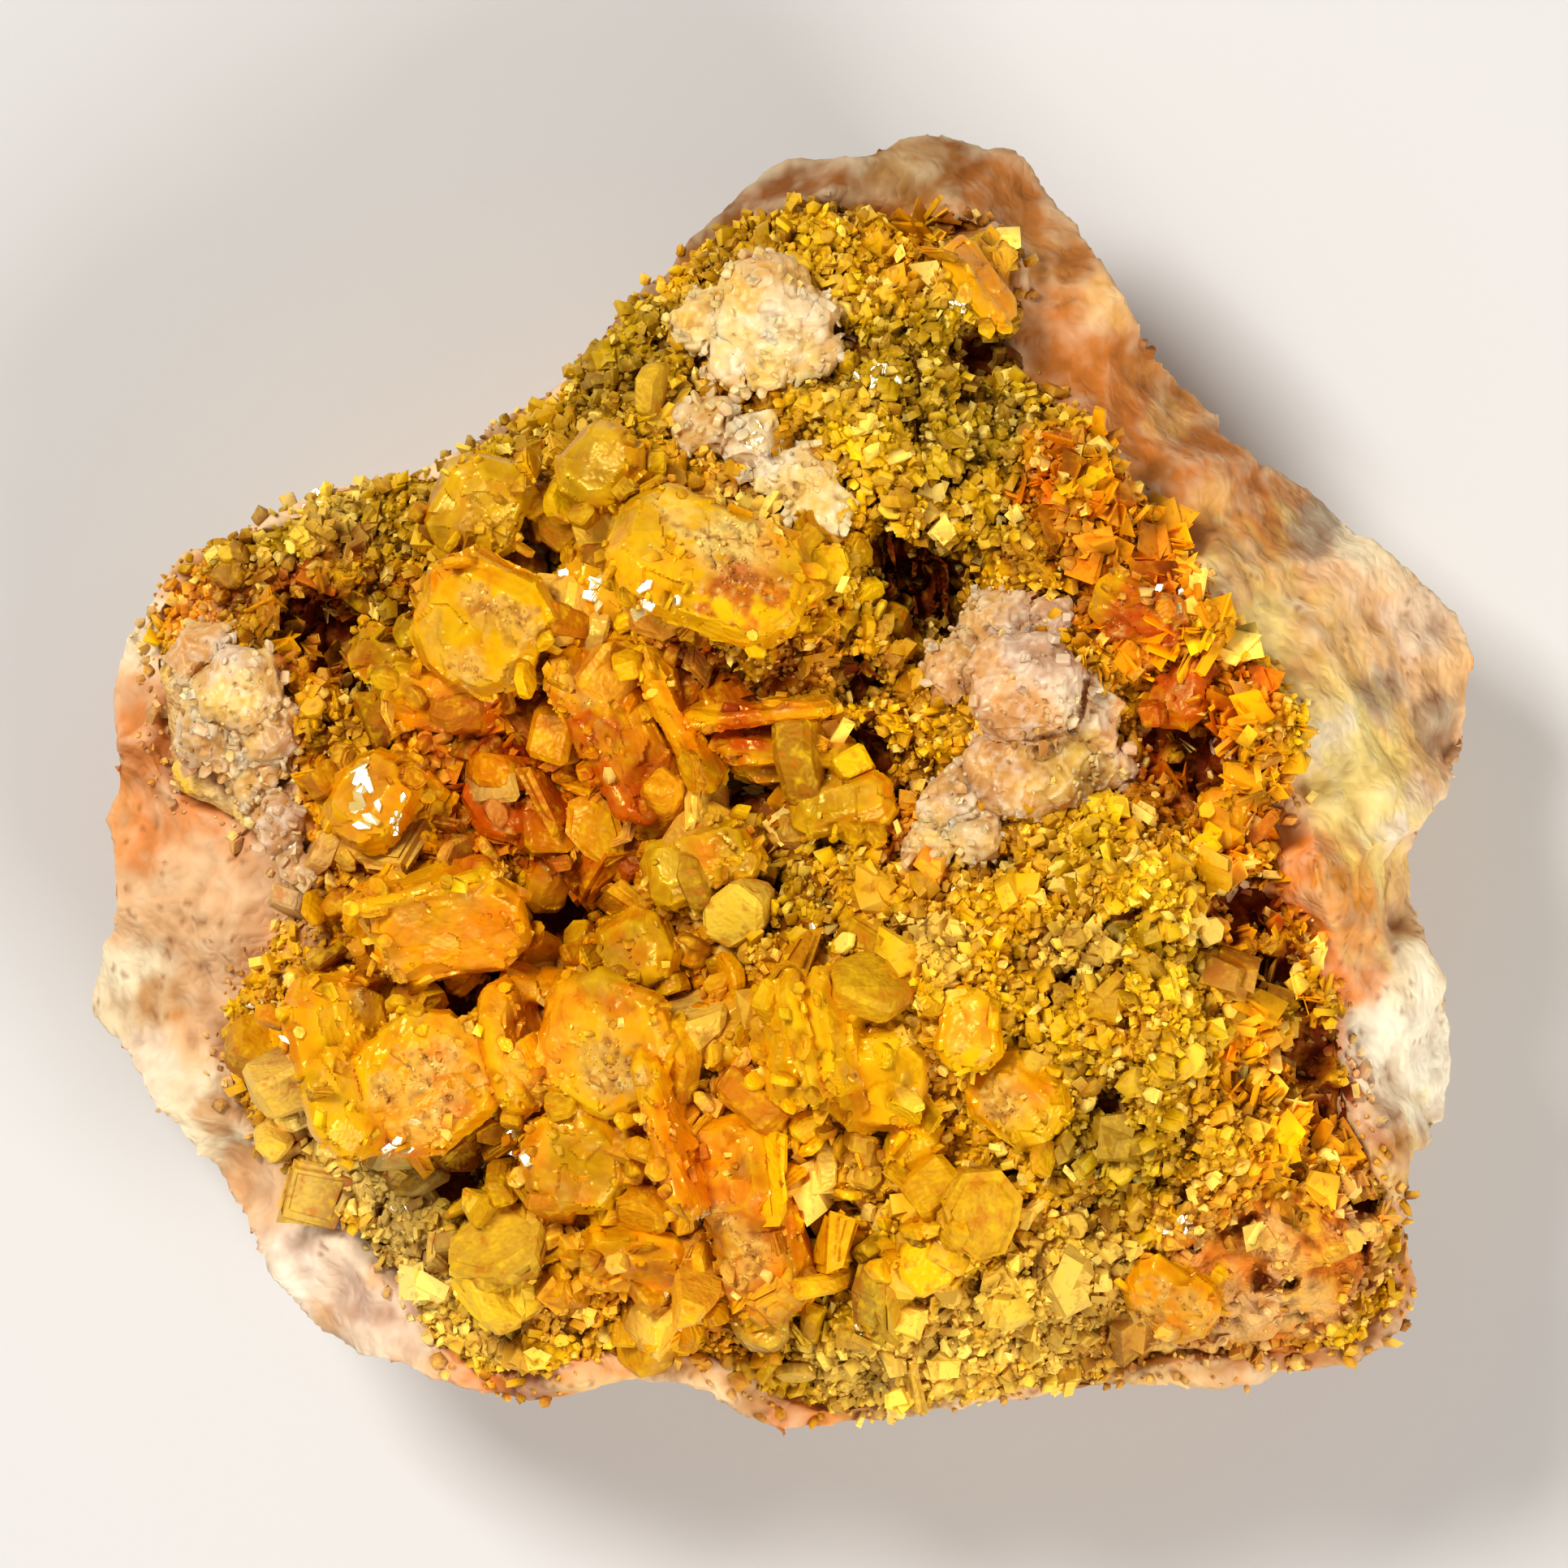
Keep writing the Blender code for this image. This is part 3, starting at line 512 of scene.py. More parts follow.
stone = {
    "voxel": 0.23 * mm,
    "triangles": 180000,
    "relief": [("CLOUDS", 4.4, 0.85, 0.55), ("CLOUDS", 1.9, 0.5, 0.55), ("CLOUDS", 0.75, 0.16, 0.55),
        ("STUCCI", 0.35, 0.05, 0.55)],
    "flatBelow": 0.3, "freeAbove": 1.8,  # heights in mm between which the flat back gives way to the relief
    # the inner right rim is drawn out into fibres that run down to the right
    "fibersAlong": (0.56, -0.83), "fiberWidth": 0.42, "fiberDepth": 0.09,
    "fibrous": [(14.4, 6.9, 2), (16.3, 3.8, 2), (17.6, 1, 2), (18.6, -2, 2), (18.6, -5, 1.6),
        (19.6, -11.5, 1.6)],
    "base": "cream",
    "zones": [
        ("pink", 0.8, [(-19, -5, 4), (-20, 1, 4), (-15, -14, 4), (-12, -18, 4), (20, 6, 4), (21, 0, 3),
            (18, 9, 3)]),
        ("blush", 0.7, [(-21, 8, 2.4), (-19.5, 7, 2), (-17, -11, 2), (-13, -16.5, 2), (10, -19.5, 4),
            (12, 13, 4)]),
        ("tan", 0.9, [(5, 20, 4), (10, 15, 5), (13, 10, 4), (0, 19, 3.5), (-4, 16, 2.5), (-9, 12, 2),
            (14.5, 8.5, 2), (7.5, 19, 3), (17, -15, 4), (19, -17, 3), (0, -20.5, 3.5), (-8, -19, 3),
            (12, -19, 3)]),
        ("sienna", 0.85, [(0.7, 18.9, 3.4), (-1.5, 18, 2.4), (2.6, 20, 2.4), (-4.5, 16.5, 1.8),
            (14.3, 10, 1.3), (7.5, 16.2, 1.4), (9.5, 13, 1.2), (-7.5, -19.2, 1.4)]),
        ("brown", 0.8, [(1.6, 19.3, 2.8), (-2.2, 17.9, 2), (4.6, 17.6, 1.2), (13.8, 10.6, 1.2),
            (8.6, 11.3, 0.9), (12.2, 12.2, 1), (-5.4, 15.6, 1.2)]),
        ("bronze", 0.85, [(9.4, 16, 2.4), (11.5, 12.6, 2.2), (7.6, 17.8, 2), (13.4, 9.6, 2),
            (5.6, 19.4, 1.6), (10.6, 14.4, 2), (15, 7.4, 1.2)]),
        ("stain", 0.75, [(-20.6, 1.2, 2.2), (-18.3, 0.2, 2), (-21, -1, 1.6), (-16.8, 0.3, 1.2),
            (8.6, 17.4, 0.8), (5.6, 19, 0.9), (1.1, -20.4, 1.8), (-9.6, -19.1, 1.6), (16.5, -16.5, 2),
            (19.3, -15.6, 1.4), (17, -2.2, 1), (-6.5, -19.2, 1.4), (13.3, -17.5, 1.6), (3.2, 18.4, 0.8),
            (-0.6, 18.4, 0.7), (12, 11, 0.7)]),
        ("rust", 0.8, [(-20.2, 5.4, 0.7), (-17, 0.5, 0.8), (5, 19.4, 0.9), (5.2, 17.8, 0.8),
            (-13.5, -16.6, 0.6), (-8.4, -19, 0.9), (16.8, -4.4, 0.9), (17.6, -8, 0.9), (18.6, -12, 0.9),
            (9, 10.4, 0.7)]),
        ("sand", 0.8, [(14.4, 6.9, 2), (16.5, 3.8, 2.2), (18.5, 0.9, 2), (19.6, -2, 2), (17.4, -13, 1.4),
            (12, -20, 2.6), (-15, -11, 1.6), (-6, -20, 1.2)]),
        ("chalk", 0.85, [(17.5, 1.5, 1.5), (20, -7.6, 2.2), (20.6, -10, 1.5), (18.2, -5.8, 1.2),
            (-21.4, -6.5, 1.6), (-18.6, -10.6, 1.3), (16, 5, 1), (-21, 5, 1.2), (19, 8, 1.6)]),
        ("rose", 0.8, [(-15, -16, 2.2), (-13, -17.6, 1.8), (20.6, 5.4, 1.4), (20, -1, 1.2)]),
        ("white", 0.55, [(19.8, -8, 2.2), (21, -9.4, 1.2), (-20.6, -9.4, 1.2), (19, -1.4, 1),
            (-16, -15.6, 1)]),
        ("butter", 0.8, [(18.2, 0.3, 1.6), (17, 2.6, 1.2), (15.6, 5, 1.2), (18.6, -3, 1),
            (13.9, 7.6, 0.9)]),
        # painted grey shade in the clefts and dips of the stone
        ("shadeGrey", 0.7, [(19.2, 3.1, 1), (20.8, 2.1, 0.9), (14.3, 10, 1), (-12.6, -14.8, 1),
            (-14.6, -13, 0.9), (8.4, 10.6, 0.8), (4, 18.2, 0.6), (17, 8.2, 0.8)]),
        ("bronze", 0.55, [(10, 15, 3), (13, 10.4, 2.4), (7, 18, 2.6), (4, 20, 2.6), (0, 19.4, 2.4)]),
        ("tan", 0.5, [(11, 15, 3), (14, 10.4, 2.4), (7, 18, 2.6), (2, 20, 3)]),
        ("stain", 0.35, [(11, 14, 3.4), (14, 9.4, 2)]),
        ("brown", 0.7, [(1, 19.6, 2.6), (4.4, 20.2, 2), (-1.6, 18.4, 1.4)]),
        ("stain", 0.8, [(16.8, -4.4, 1.5), (17.4, -5.6, 1.2), (18, -3.4, 0.8)]),
        ("sand", 0.5, [(10.4, 15.4, 0.9), (12.2, 11.6, 0.8), (13.8, 9, 0.9)]),
        ("ochre", 0.7, [(-20.2, -7, 0.8), (-18, -10.5, 0.8), (-16.2, -7.5, 1.2), (19.6, -12, 1),
            (-15.6, -9.6, 1), (16.8, 4.6, 0.7), (-19, 6.8, 0.7)]),
        ("orange", 0.6, [(16.2, -2.6, 1.3), (17, -4, 1.5), (17.8, -5.4, 1.2), (18.4, -6, 0.8),
            (17.3, -8.2, 0.6)]),
        ("honey", 0.4, [(15.6, -1, 1.2), (17.6, -3.6, 1.3), (18.6, -5, 0.8)]),
    ],
}


def growStone():
    piece = copyNode("matrix_rock", "stone", stone["voxel"], 2)
    low, high = stone["flatBelow"], stone["freeAbove"]
    groupVertices(piece, "free", (readVertices(piece)[:, 2] - low) / (high - low))
    roughen(piece, stone["relief"], "free")
    points, normals = readSurface(piece)
    fibers, band = readFibers(points)
    writeVertices(piece, points + normals * (stone["fiberDepth"] * fibers * band)[:, None])
    thinOut(piece, stone["triangles"])
    points = np.maximum(readVertices(piece), (-np.inf, -np.inf, 0))  # nothing below the floor
    writeVertices(piece, points)
    fibers, band = readFibers(points)
    relief = readRelief(piece, rounds=6, depth=0.1)
    hairlines = np.abs(cloud(points, 1.3, 74)) < 0.03
    # clay darkens the hollows as painted shade and chalk lightens the ridges as a painted highlight; the
    # last clay marks the hairline cracks
    writeColors(piece, "tint", layColors(
        zoneColors(points, stone["base"], stone["zones"]),
        ("sand", 0.3 * cloud(points, 3.2, 71)),
        ("sienna", 0.45 * (cloud(points, 1.4, 73) - 0.25)),
        ("clay", -0.5 * relief),
        ("chalk", 0.25 * relief),
        ("bronze", 0.6 * band * np.clip(fibers, 0, 1)),
        ("butter", 0.7 * band * np.clip(-fibers, 0, 1)),
        ("clay", 0.6 * hairlines * (cloud(points, 4, 75) > 0)),
    ))
    writeNumbers(piece, "wear", 0.6 - 0.3 * relief)
    shadeByAngle(piece, 60)
    dress(piece, stoneFinish, "stone", "matrix_rock")
    say("stone", triangleCount(piece))
    return piece


def readFibers(points):
    alongX, alongY = stone["fibersAlong"]
    across = points[:, 0] * -alongY + points[:, 1] * alongX
    along = points[:, 0] * alongX + points[:, 1] * alongY
    place = np.column_stack([across, 0.15 * along, 0.4 * points[:, 2]])  # drawn out along the fibres
    band = blobWeight(points, stone["fibrous"], 0.35 * cloud(points, 1.5, 6))
    return cloud(place, stone["fiberWidth"], 5), band


crust = {
    "voxel": 0.155 * mm,
    "triangles": 190000,
    "overlap": 0.3 * mm,  # grows into the stone, so that no seam shows
    "relief": [("VORONOI", 2.0, -0.95, 0.4), ("VORONOI", 0.7, -0.35, 0.3), ("CLOUDS", 0.28, 0.12, 0.5)],
    "base": "umber",
    # the ground between the grains, darker than they are: partly its own colours, partly painted shade
    "ground": [
        ("rust", 0.9, [(-10, -8, 7), (-4, -10, 6), (-8, 3, 6), (-2, 3, 6), (-2, -14, 4), (-12, -2, 5),
            (0, -3, 5)]),
        ("darkOlive", 0.8, [(-17, 7, 3), (-13, 9, 3), (-9.5, 10, 3), (-6, 13, 3), (4.5, 13, 3.4),
            (5.5, 10, 3), (-1, 17, 2), (2, 11.5, 2), (-11, -13.5, 2.4), (9.5, -11, 3), (1, -18, 2)]),
        ("ochre", 0.8, [(9, -4, 5), (11, -8, 5), (7, -9, 4), (4, -8, 4), (14, -10, 4), (3, -13, 4),
            (8, -14, 4), (2, 9, 2.2), (3.5, 4, 2), (1.5, 15.5, 2), (3, 17, 1.6)]),
        ("beige", 0.8, [(9, -17, 3.4), (5, -18, 2.6), (-10, -16.5, 2.6), (13, -17, 2.4), (-13, -12.5, 1.6),
            (2.5, -19, 2)]),
        ("rust", 0.95, [(9.5, 9, 2.2), (11.3, 7, 2.4), (12.6, 5, 2), (13.4, 2.4, 2.2), (12, 1.5, 1.6),
            (15, -1, 1.8), (16.5, -4, 2), (15.8, -8.5, 1.8), (16.8, -11.5, 1.8), (-1.7, 4.6, 3),
            (-0.2, 0.2, 2.2), (-7, 7.4, 1.6), (-14, 5.2, 2.4), (-17, 6, 1.2), (6, 18, 1.8), (7, 15.7, 1.6),
            (8, 7.5, 1.4)]),
        ("fire", 0.7, [(-8.3, 0.2, 2.8), (12, 5.5, 1.4), (10.5, 8, 1.2), (15.2, -14.8, 2.6),
            (17.5, -13, 1.8), (-4.5, -0.5, 1.6), (-2.2, 5.2, 2.2), (5.2, 17.5, 1), (-18.8, 5.5, 1.4),
            (4, -1.6, 1.2)]),
        ("shade", 0.8, [(4.2, 5.9, 1.9), (-12.7, 5.1, 1.5), (-8.5, 7.1, 1.2), (-7.2, -3.7, 1.9),
            (-10.6, -12.3, 1.5), (6.3, 13.7, 1), (12.3, 0.7, 1.7), (15.4, -4.3, 1.3), (16.7, -8.4, 1.3),
            (-12.5, -5.8, 1.3), (-1, -0.4, 1.3), (-6, -6.5, 1.2)]),
        ("blush", 1.0, [(-18.5, 2, 2.4), (-17.8, 0.4, 2.2), (-16.4, -2.4, 1.8), (-18.6, 4, 1.4),
            (-16.4, -5, 1.4)]),
        ("stain", 1.0, [(15.4, -15.6, 2.6), (13.2, -17.2, 1.6), (17.8, -14.4, 1.6)]),
        ("straw", 0.9, [(-15, -10.2, 1.2), (-13.6, -12, 1.3), (-12.2, -13.8, 1.2), (-11, -15.8, 1)]),
        ("sand", 0.9, [(14.2, -16.8, 1.2), (16.4, -16.4, 1.1), (15.4, -14.6, 0.8), (12.2, -18, 1)]),
        ("tan", 1.0, [(6.6, 17.4, 2), (7.4, 15.6, 1.4)]),
        ("stain", 0.8, [(7.4, 16.8, 1), (6.4, 18.4, 0.9)]),
        ("rust", 0.9, [(4.8, 18.2, 1), (4.9, 16.8, 0.8)]),
        # painted deep red shade in the crevices
        ("creviceShade", 0.95, [(-14.8, 5, 2), (12.7, 0.6, 1.9), (14.8, -4.2, 1.6), (15.6, -6, 1.4),
            (16.6, -8.3, 1.4), (17.4, -10.6, 1.3), (-2.6, 0.8, 1.8), (-7, -3.6, 1.6)]),
    ],
    # the grains that grow there
    "growthBase": "gold",
    "growth": [
        ("amber", 0.9, [(-10, -8, 6), (-4, -10, 6), (-8, 3, 5), (-2, 4, 4), (-2, -14, 4), (-12, -2, 4),
            (-6, -4, 5)]),
        ("moss", 0.7, [(-17, 7, 3), (-13, 9, 3), (-9.5, 10, 3), (-6, 13, 3), (4.5, 13, 3.4), (5.5, 10, 3),
            (-1, -3, 3), (-1, 17, 2), (2, 11.5, 2), (-11, -13.5, 2.4), (9.5, -11, 3), (10, -14, 2),
            (1, -18, 2.4)]),
        ("olive", 0.7, [(-15, 8, 2.2), (-10.5, 11, 2), (-5, 14, 2), (5.5, 12.5, 2.6), (3, 14, 1.6),
            (9.8, -11.5, 1.8)]),
        ("lemon", 0.7, [(3, -7, 1.6), (7.5, -9, 2.2), (12, -5, 2), (9.5, -1.5, 1.6), (2, 6.5, 1.6),
            (13.5, -7.5, 1.4), (2.5, 10, 1.5), (1.5, 16, 1.4), (-13.6, -10, 1)]),
        ("straw", 0.8, [(9, -17, 3.2), (5, -18, 2.4), (-10.5, -16.5, 2.4), (13, -17, 2.2),
            (-13, -12.5, 1.4), (2.5, -19, 1.8), (-1.5, 8.5, 1.4), (-14.5, 8.8, 1.2), (9, -5.5, 1.2),
            (4.6, -5, 1.2)]),
        ("orange", 0.9, [(9.5, 9, 2.2), (11.3, 7, 2.4), (12.6, 5, 2), (13.4, 2.4, 2.2), (15, -1, 1.8),
            (16.5, -4, 2), (15.8, -8.5, 1.8), (16.8, -11.5, 1.8), (-8.3, 0.2, 2.6), (6, 18, 1.4),
            (-4.5, -0.5, 1.6), (-2.2, 5.2, 1.8), (-18.8, 5.5, 1.2), (4, -1.6, 1.2)]),
        ("honey", 0.8, [(15.2, -14.8, 2.8), (17.5, -13, 2), (14, -16.5, 1.6), (14.6, 1, 1.2),
            (16.4, -3, 1.4), (10.6, 8.4, 1), (13, 4.4, 0.9), (15.6, -7, 1)]),
        ("fire", 0.85, [(12.6, 1.6, 2), (14.2, -1.4, 1.2), (11.8, 6.4, 1), (9.2, 9.4, 1.2), (15.6, -4.6, 1),
            (17.4, -10.6, 1)]),
        ("peach", 0.9, [(15.4, -15.8, 2.8), (12.8, -17.6, 1.8), (17.8, -14.6, 1.6)]),
        ("stain", 0.9, [(14.6, -15.2, 0.9), (17.8, -15.2, 1), (16.2, -17.4, 0.8), (13, -17.4, 0.6),
            (16.6, -13.4, 0.7)]),
        ("straw", 0.8, [(13.2, -16.2, 0.8), (16.4, -16, 0.7), (11.6, -18.2, 1)]),
        ("butter", 0.7, [(-16, -9.5, 0.9), (-15, -11, 0.9), (-13.8, -12.8, 0.9), (-12.5, -14.5, 1.1),
            (-11.5, -16, 1)]),
        ("ember", 1.0, [(-8.3, 0.2, 3.2), (-6.4, -1.4, 1.8), (-5, 0.9, 1.6), (-10.2, 1.5, 1.2),
            (-2.2, 4.8, 1.6), (3.6, -0.6, 0.9), (-3.6, -2.2, 1)]),
        ("rust", 0.85, [(-1.7, 4.2, 2.2), (-0.2, 0.2, 2), (-7, 7.4, 1.4), (-14, 5.2, 2.2), (-17, 6, 1.2),
            (7, 15.7, 1.2), (8, 7.5, 1.2), (12, 1.2, 1.5), (16.5, -9.5, 1), (9.6, 10, 0.9)]),
        ("shade", 0.75, [(4.2, 5.9, 1.5), (-12.7, 5.1, 1.1), (-8.5, 7.1, 0.9), (-7.2, -3.7, 1.4),
            (-10.6, -12.3, 1.2), (12.3, 0.7, 1.3), (16.7, -8.4, 1)]),
        ("pearl", 1.0, [(-18.5, 2, 2.2), (-17.5, 0, 2), (-16, -3, 1.5)]),
        ("butter", 0.85, [(-15, -10.2, 1.2), (-13.6, -12, 1.4), (-12.2, -13.8, 1.3), (-11, -15.8, 1.1)]),
        ("lemon", 0.7, [(-9.5, -14.6, 1.5), (-10.2, -16.4, 0.9)]),
        ("rust", 0.9, [(4.8, 18.4, 1.3), (5, 16.8, 0.8)]),
        ("bronze", 0.85, [(6.6, 17.4, 1.4), (2.2, 19, 1), (7.6, 15.4, 1)]),
        ("stain", 0.6, [(13.6, -15.2, 1.6), (17, -15.6, 1.4), (10.5, -18, 1.2)]),
        # the grains in those crevices take a painted deep red shade too
        ("ember", 0.8, [(-14.8, 5, 2), (12.7, 0.6, 1.9), (15, -4.6, 1.5), (17, -9.4, 1.5),
            (-2.6, 0.8, 1.8)]),
        ("honey", 0.6, [(14.6, -10.4, 1.6), (16.2, -12.6, 1.6), (14.4, -13.4, 1.4), (12.8, 3.4, 1)]),
    ],
    # where each kind of grain grows
    "tablets": [(-10, -8, 6), (-4, -10, 6), (-8, 3, 5.4), (-2, -14, 5), (-12, -2, 4), (-5, -3, 5),
        (1, -9, 4), (-9, -14, 3), (3, -14, 3), (-6, 8, 3), (-1, 0, 3), (2, 6, 2)],
    "blocks": [(9, -4, 6), (11, -9, 6), (7, -9, 5), (3, -8, 4), (14, -11, 4), (3, -14, 5), (9, -14, 5),
        (13, -14, 4), (2, 8, 3), (3.5, 5, 2.5), (1, 16, 3), (-2, -3, 3), (2, -1, 2), (-13, 8, 5),
        (-5, 12, 4), (5, 11, 5), (-17, 7, 2), (5, 16, 3), (-8, -16, 3), (5, -18, 3), (12, -18, 3)],
    "lumps": [(9, -4, 5), (11, -9, 5), (7, -9, 5), (3, -8, 4), (3, -14, 5), (9, -14, 4), (-8, -16, 3),
        (5, -18, 3)],
    "blades": [(9.5, 9, 2.4), (11.3, 7, 2.8), (12.6, 5, 2.4), (13.4, 2.4, 2.4), (15, -1, 2),
        (16.5, -4, 2.2), (15.8, -8.5, 2), (16.8, -11.5, 2), (17.5, -13, 1.4), (6, 17, 2), (-14, 5.2, 2.4),
        (-0.2, 0.2, 2), (-8.3, 0.2, 2.4)],
    "bare": [(-18.5, 2, 2.4), (-17.8, 0, 2.2), (-16.4, -2.4, 1.8)],
    "sparse": [(-14.8, 5, 1.7), (12.7, 0.6, 1.6), (15, -4.6, 1.3), (17, -9.4, 1.3), (-2.6, 0.8, 1.5),
        (-7, -3.6, 1.3), (15.2, -15.6, 2.6), (13, -17.6, 1.7), (17.8, -14.2, 1.6), (6.9, 17.2, 1.6),
        (7.8, 15.6, 1)],
    # gaps between the crystals, darkened with painted shade, and how deep they are, mm
    "gaps": [(4.5, 6.4, 1.5), (3.4, 7.2, 0.9), (5.6, 4.9, 0.9), (-8, 7.2, 1), (-15.3, 5.4, 1),
        (-14.2, 4.6, 1.2), (-7.2, -3.8, 1.3), (-5.8, -3.4, 0.9), (-10.6, -7, 1), (-8.9, -6.4, 0.7),
        (-10.7, -12.3, 1.1), (6.3, 13.7, 0.9), (5.6, 18.2, 0.7), (12.3, 2.2, 1.1), (13.4, 0.9, 1),
        (14.6, -4, 1.1), (15.6, -6, 0.9), (16.6, -8.3, 1), (17.4, -10.6, 0.9), (18.4, -13.2, 0.6),
        (-2.8, 0.6, 1.4), (-3.9, 2, 0.8), (-1.2, -0.2, 0.9), (2.7, 0.9, 1), (-2.3, -12, 0.8),
        (0.8, -13.8, 0.8), (5.4, -7.1, 0.5), (8.8, -6.2, 0.5), (-12.8, 0.6, 0.8), (-4.6, 7.6, 0.6),
        (10.4, -10.2, 0.7), (7, -12.4, 0.5), (1.8, 14, 0.6), (-13.2, 3.4, 1), (1.5, -1.2, 0.7),
        (-0.5, -3.2, 0.6), (2.4, 3.2, 0.7), (3.4, -0.4, 0.6)],
    "gapDepth": 0.95,
    "poreSize": 1.1, "pores": 0.75,
}


def readGaps(points):
    gaps = blobWeight(points, crust["gaps"], 0.35 * cloud(points, 0.8, 8))
    return np.maximum(gaps, crust["pores"] * np.clip(3 * cloud(points, crust["poreSize"], 9) - 1.9, 0, 1))


def growCrust():
    piece = copyNode("druse_crust", "crust", crust["voxel"], 2)
    applyModifier(piece, "DISPLACE", strength=crust["overlap"], mid_level=0.0)
    groupVertices(piece, "upper", 2 * readVertices(piece, "normal")[:, 2] + 0.5)
    roughen(piece, crust["relief"], "upper")
    points, normals = readSurface(piece)
    gaps = readGaps(points) * (normals[:, 2] > 0)
    writeVertices(piece, points - np.outer(crust["gapDepth"] * gaps, (0, 0, 1)))
    thinOut(piece, crust["triangles"])
    points, normals = readSurface(piece)
    gaps = readGaps(points)
    relief = readRelief(piece, rounds=6, depth=0.12)
    knobs = readRelief(piece, rounds=30, depth=0.35)
    drift = cloud(points, 1.1, 15)
    # the broad hollows take painted shade (umber) and the knobs painted light (lemon)
    growth = layColors(
        zoneColors(points, crust["growthBase"], crust["growth"]),
        ("umber", -1.0 * knobs),
        ("lemon", 0.5 * knobs),
        ("bronze", -0.8 * drift - 0.25),
        ("straw", 0.5 * drift - 0.2),
    )
    ground = zoneColors(points, crust["base"], crust["ground"])
    # painted shade: the darker ground shows in the hollows, and dark colour fills the hollows and the gaps
    share = np.clip(0.25 + 0.9 * relief + 0.3 * cloud(points, 0.6, 3), 0, 0.85)[:, None]
    colors = ground * (1 - share) + growth * share
    writeColors(piece, "tint", layColors(colors, ("shade", -0.9 * relief), ("gapShade", 0.85 * gaps)))
    writeNumbers(piece, "wear", 0.5 - 0.4 * relief)
    # the grains in the gaps take painted shade
    writeColors(piece, "growth", layColors(growth, ("wine", 0.6 * gaps)))
    up = normals[:, 2]
    bare = (1 - blobWeight(points, crust["bare"], 0.3 * cloud(points, 1.5, 12))) * (1 - 0.9 * gaps)
    bare *= 1 - 0.85 * blobWeight(points, crust["sparse"], 0.5 * cloud(points, 1.1, 16))
    for name in ("tablets", "blocks", "lumps", "blades"):
        stray = 0.4 * cloud(points, 1.8, len(name))
        writeNumbers(piece, name, blobWeight(points, crust[name], stray) * (up > 0.1) * bare)
    writeNumbers(piece, "everywhere", (up > -0.2) * bare)
    shadeByAngle(piece, 40)
    dress(piece, crustFinish, "crust", "druse_crust")
    say("crust", triangleCount(piece))
    return piece


crystal = {
    "voxel": 0.085 * mm,
    # heights in mm: soft waves, growth layers on broad faces, lines round the rim, grit and pits under dust
    "swell": 0.04, "step": 0.03, "linePitch": 0.26, "lineDepth": 0.008, "grit": 0.04, "pit": 0.04,
    # flat patches all over: how wide, how much each leans and stands out, and how deep the edges are broken
    "patch": 0.95, "lean": 0.1, "stand": 0.028, "chip": 0.11,
    "patchStray": 0.12, "patchLimit": 0.16,  # how far their borders stray, and the most one stands out
    "base": "amber",
    "zones": [
        ("moss", 0.7, [(-9.6, 8.6, 2.6), (-5.8, 10, 2.2), (-13, 4, 1.4), (-6.6, -12.2, 2.2),
            (-2.6, -2.5, 2.4), (2, -0.7, 2), (-4.8, -5.4, 1.8)]),
        ("gold", 0.85, [(0, -8, 3), (3, -10, 2.4), (7.4, -10, 2), (-2.3, 6.9, 4), (-15, -8.5, 2.4),
            (5.8, -7.8, 1.6), (-9.4, 4.8, 2.4), (-5.5, -9, 2)]),
        ("deepAmber", 0.6, [(-8, 0, 3), (-1, -14.5, 2.4), (-7, 2.4, 1.6), (11.5, 4.2, 3), (-1, 2, 1.2)]),
        ("honey", 0.9, [(-10.6, -4.8, 2.6)]),
    ],
    # laid over the painted glow on the edges too
    "fiery": [
        ("ember", 0.9, [(-8.2, -0.2, 3), (11.3, 5.3, 1.6), (12.6, 3, 1.4), (-1, 1.8, 0.9),
            (-5.4, -0.8, 1.2)]),
        ("orange", 0.5, [(-9.6, -5.4, 2), (-3.4, -11.6, 1.6), (-7.6, -8.6, 1)]),
    ],
    "dusty": [
        ("beige", [(-9.4, 4.8, 1.7), (-11.6, -9.4, 1.6), (-12.8, -6.4, 1), (-5.5, -9, 1), (3.2, -9.6, 1.2),
            (-1.6, -14.6, 1.4), (12.3, -16.4, 2), (6, -10, 1.4), (-7, 2.4, 1.2)]),
        ("butter", [(-1.8, 8.4, 1.7), (-3, 9.4, 1)]),
        ("ember", [(-1.4, 4.6, 2.1), (-2.9, 5, 1.2), (-8.2, -0.2, 2), (-1, 1.8, 1.6), (12, 4, 2)]),
    ],
    "thinDust": 0.2,
    "bareAbove": 20.2,  # mm, so that nothing grows past the top of the specimen
}


def flatPatches(points, normals, number):
    # two heights for each vertex: of the flat patch it lies on, and the patch's own random value
    dice = np.random.default_rng(number)
    voxel = crystal["voxel"] / mm
    count = max(8, int(len(points) * voxel**2 / crystal["patch"] ** 2))
    chosen = dice.integers(0, len(points), count)
    middles, facings = points[chosen], normals[chosen]
    warped = points + crystal["patchStray"] * cloud(points, 0.9, number + 30)[:, None]
    away = ((warped[:, None] - middles) ** 2).sum(axis=2) + 2 * (1 - normals @ facings.T)
    nearest = away.argmin(axis=1)
    leans = crystal["lean"] * dice.normal(size=(count, 3))
    value = dice.normal(size=count)
    heights = crystal["stand"] * value[nearest] + ((points - middles[nearest]) * leans[nearest]).sum(axis=1)
    return np.clip(heights, -crystal["patchLimit"], crystal["patchLimit"]), value[nearest]


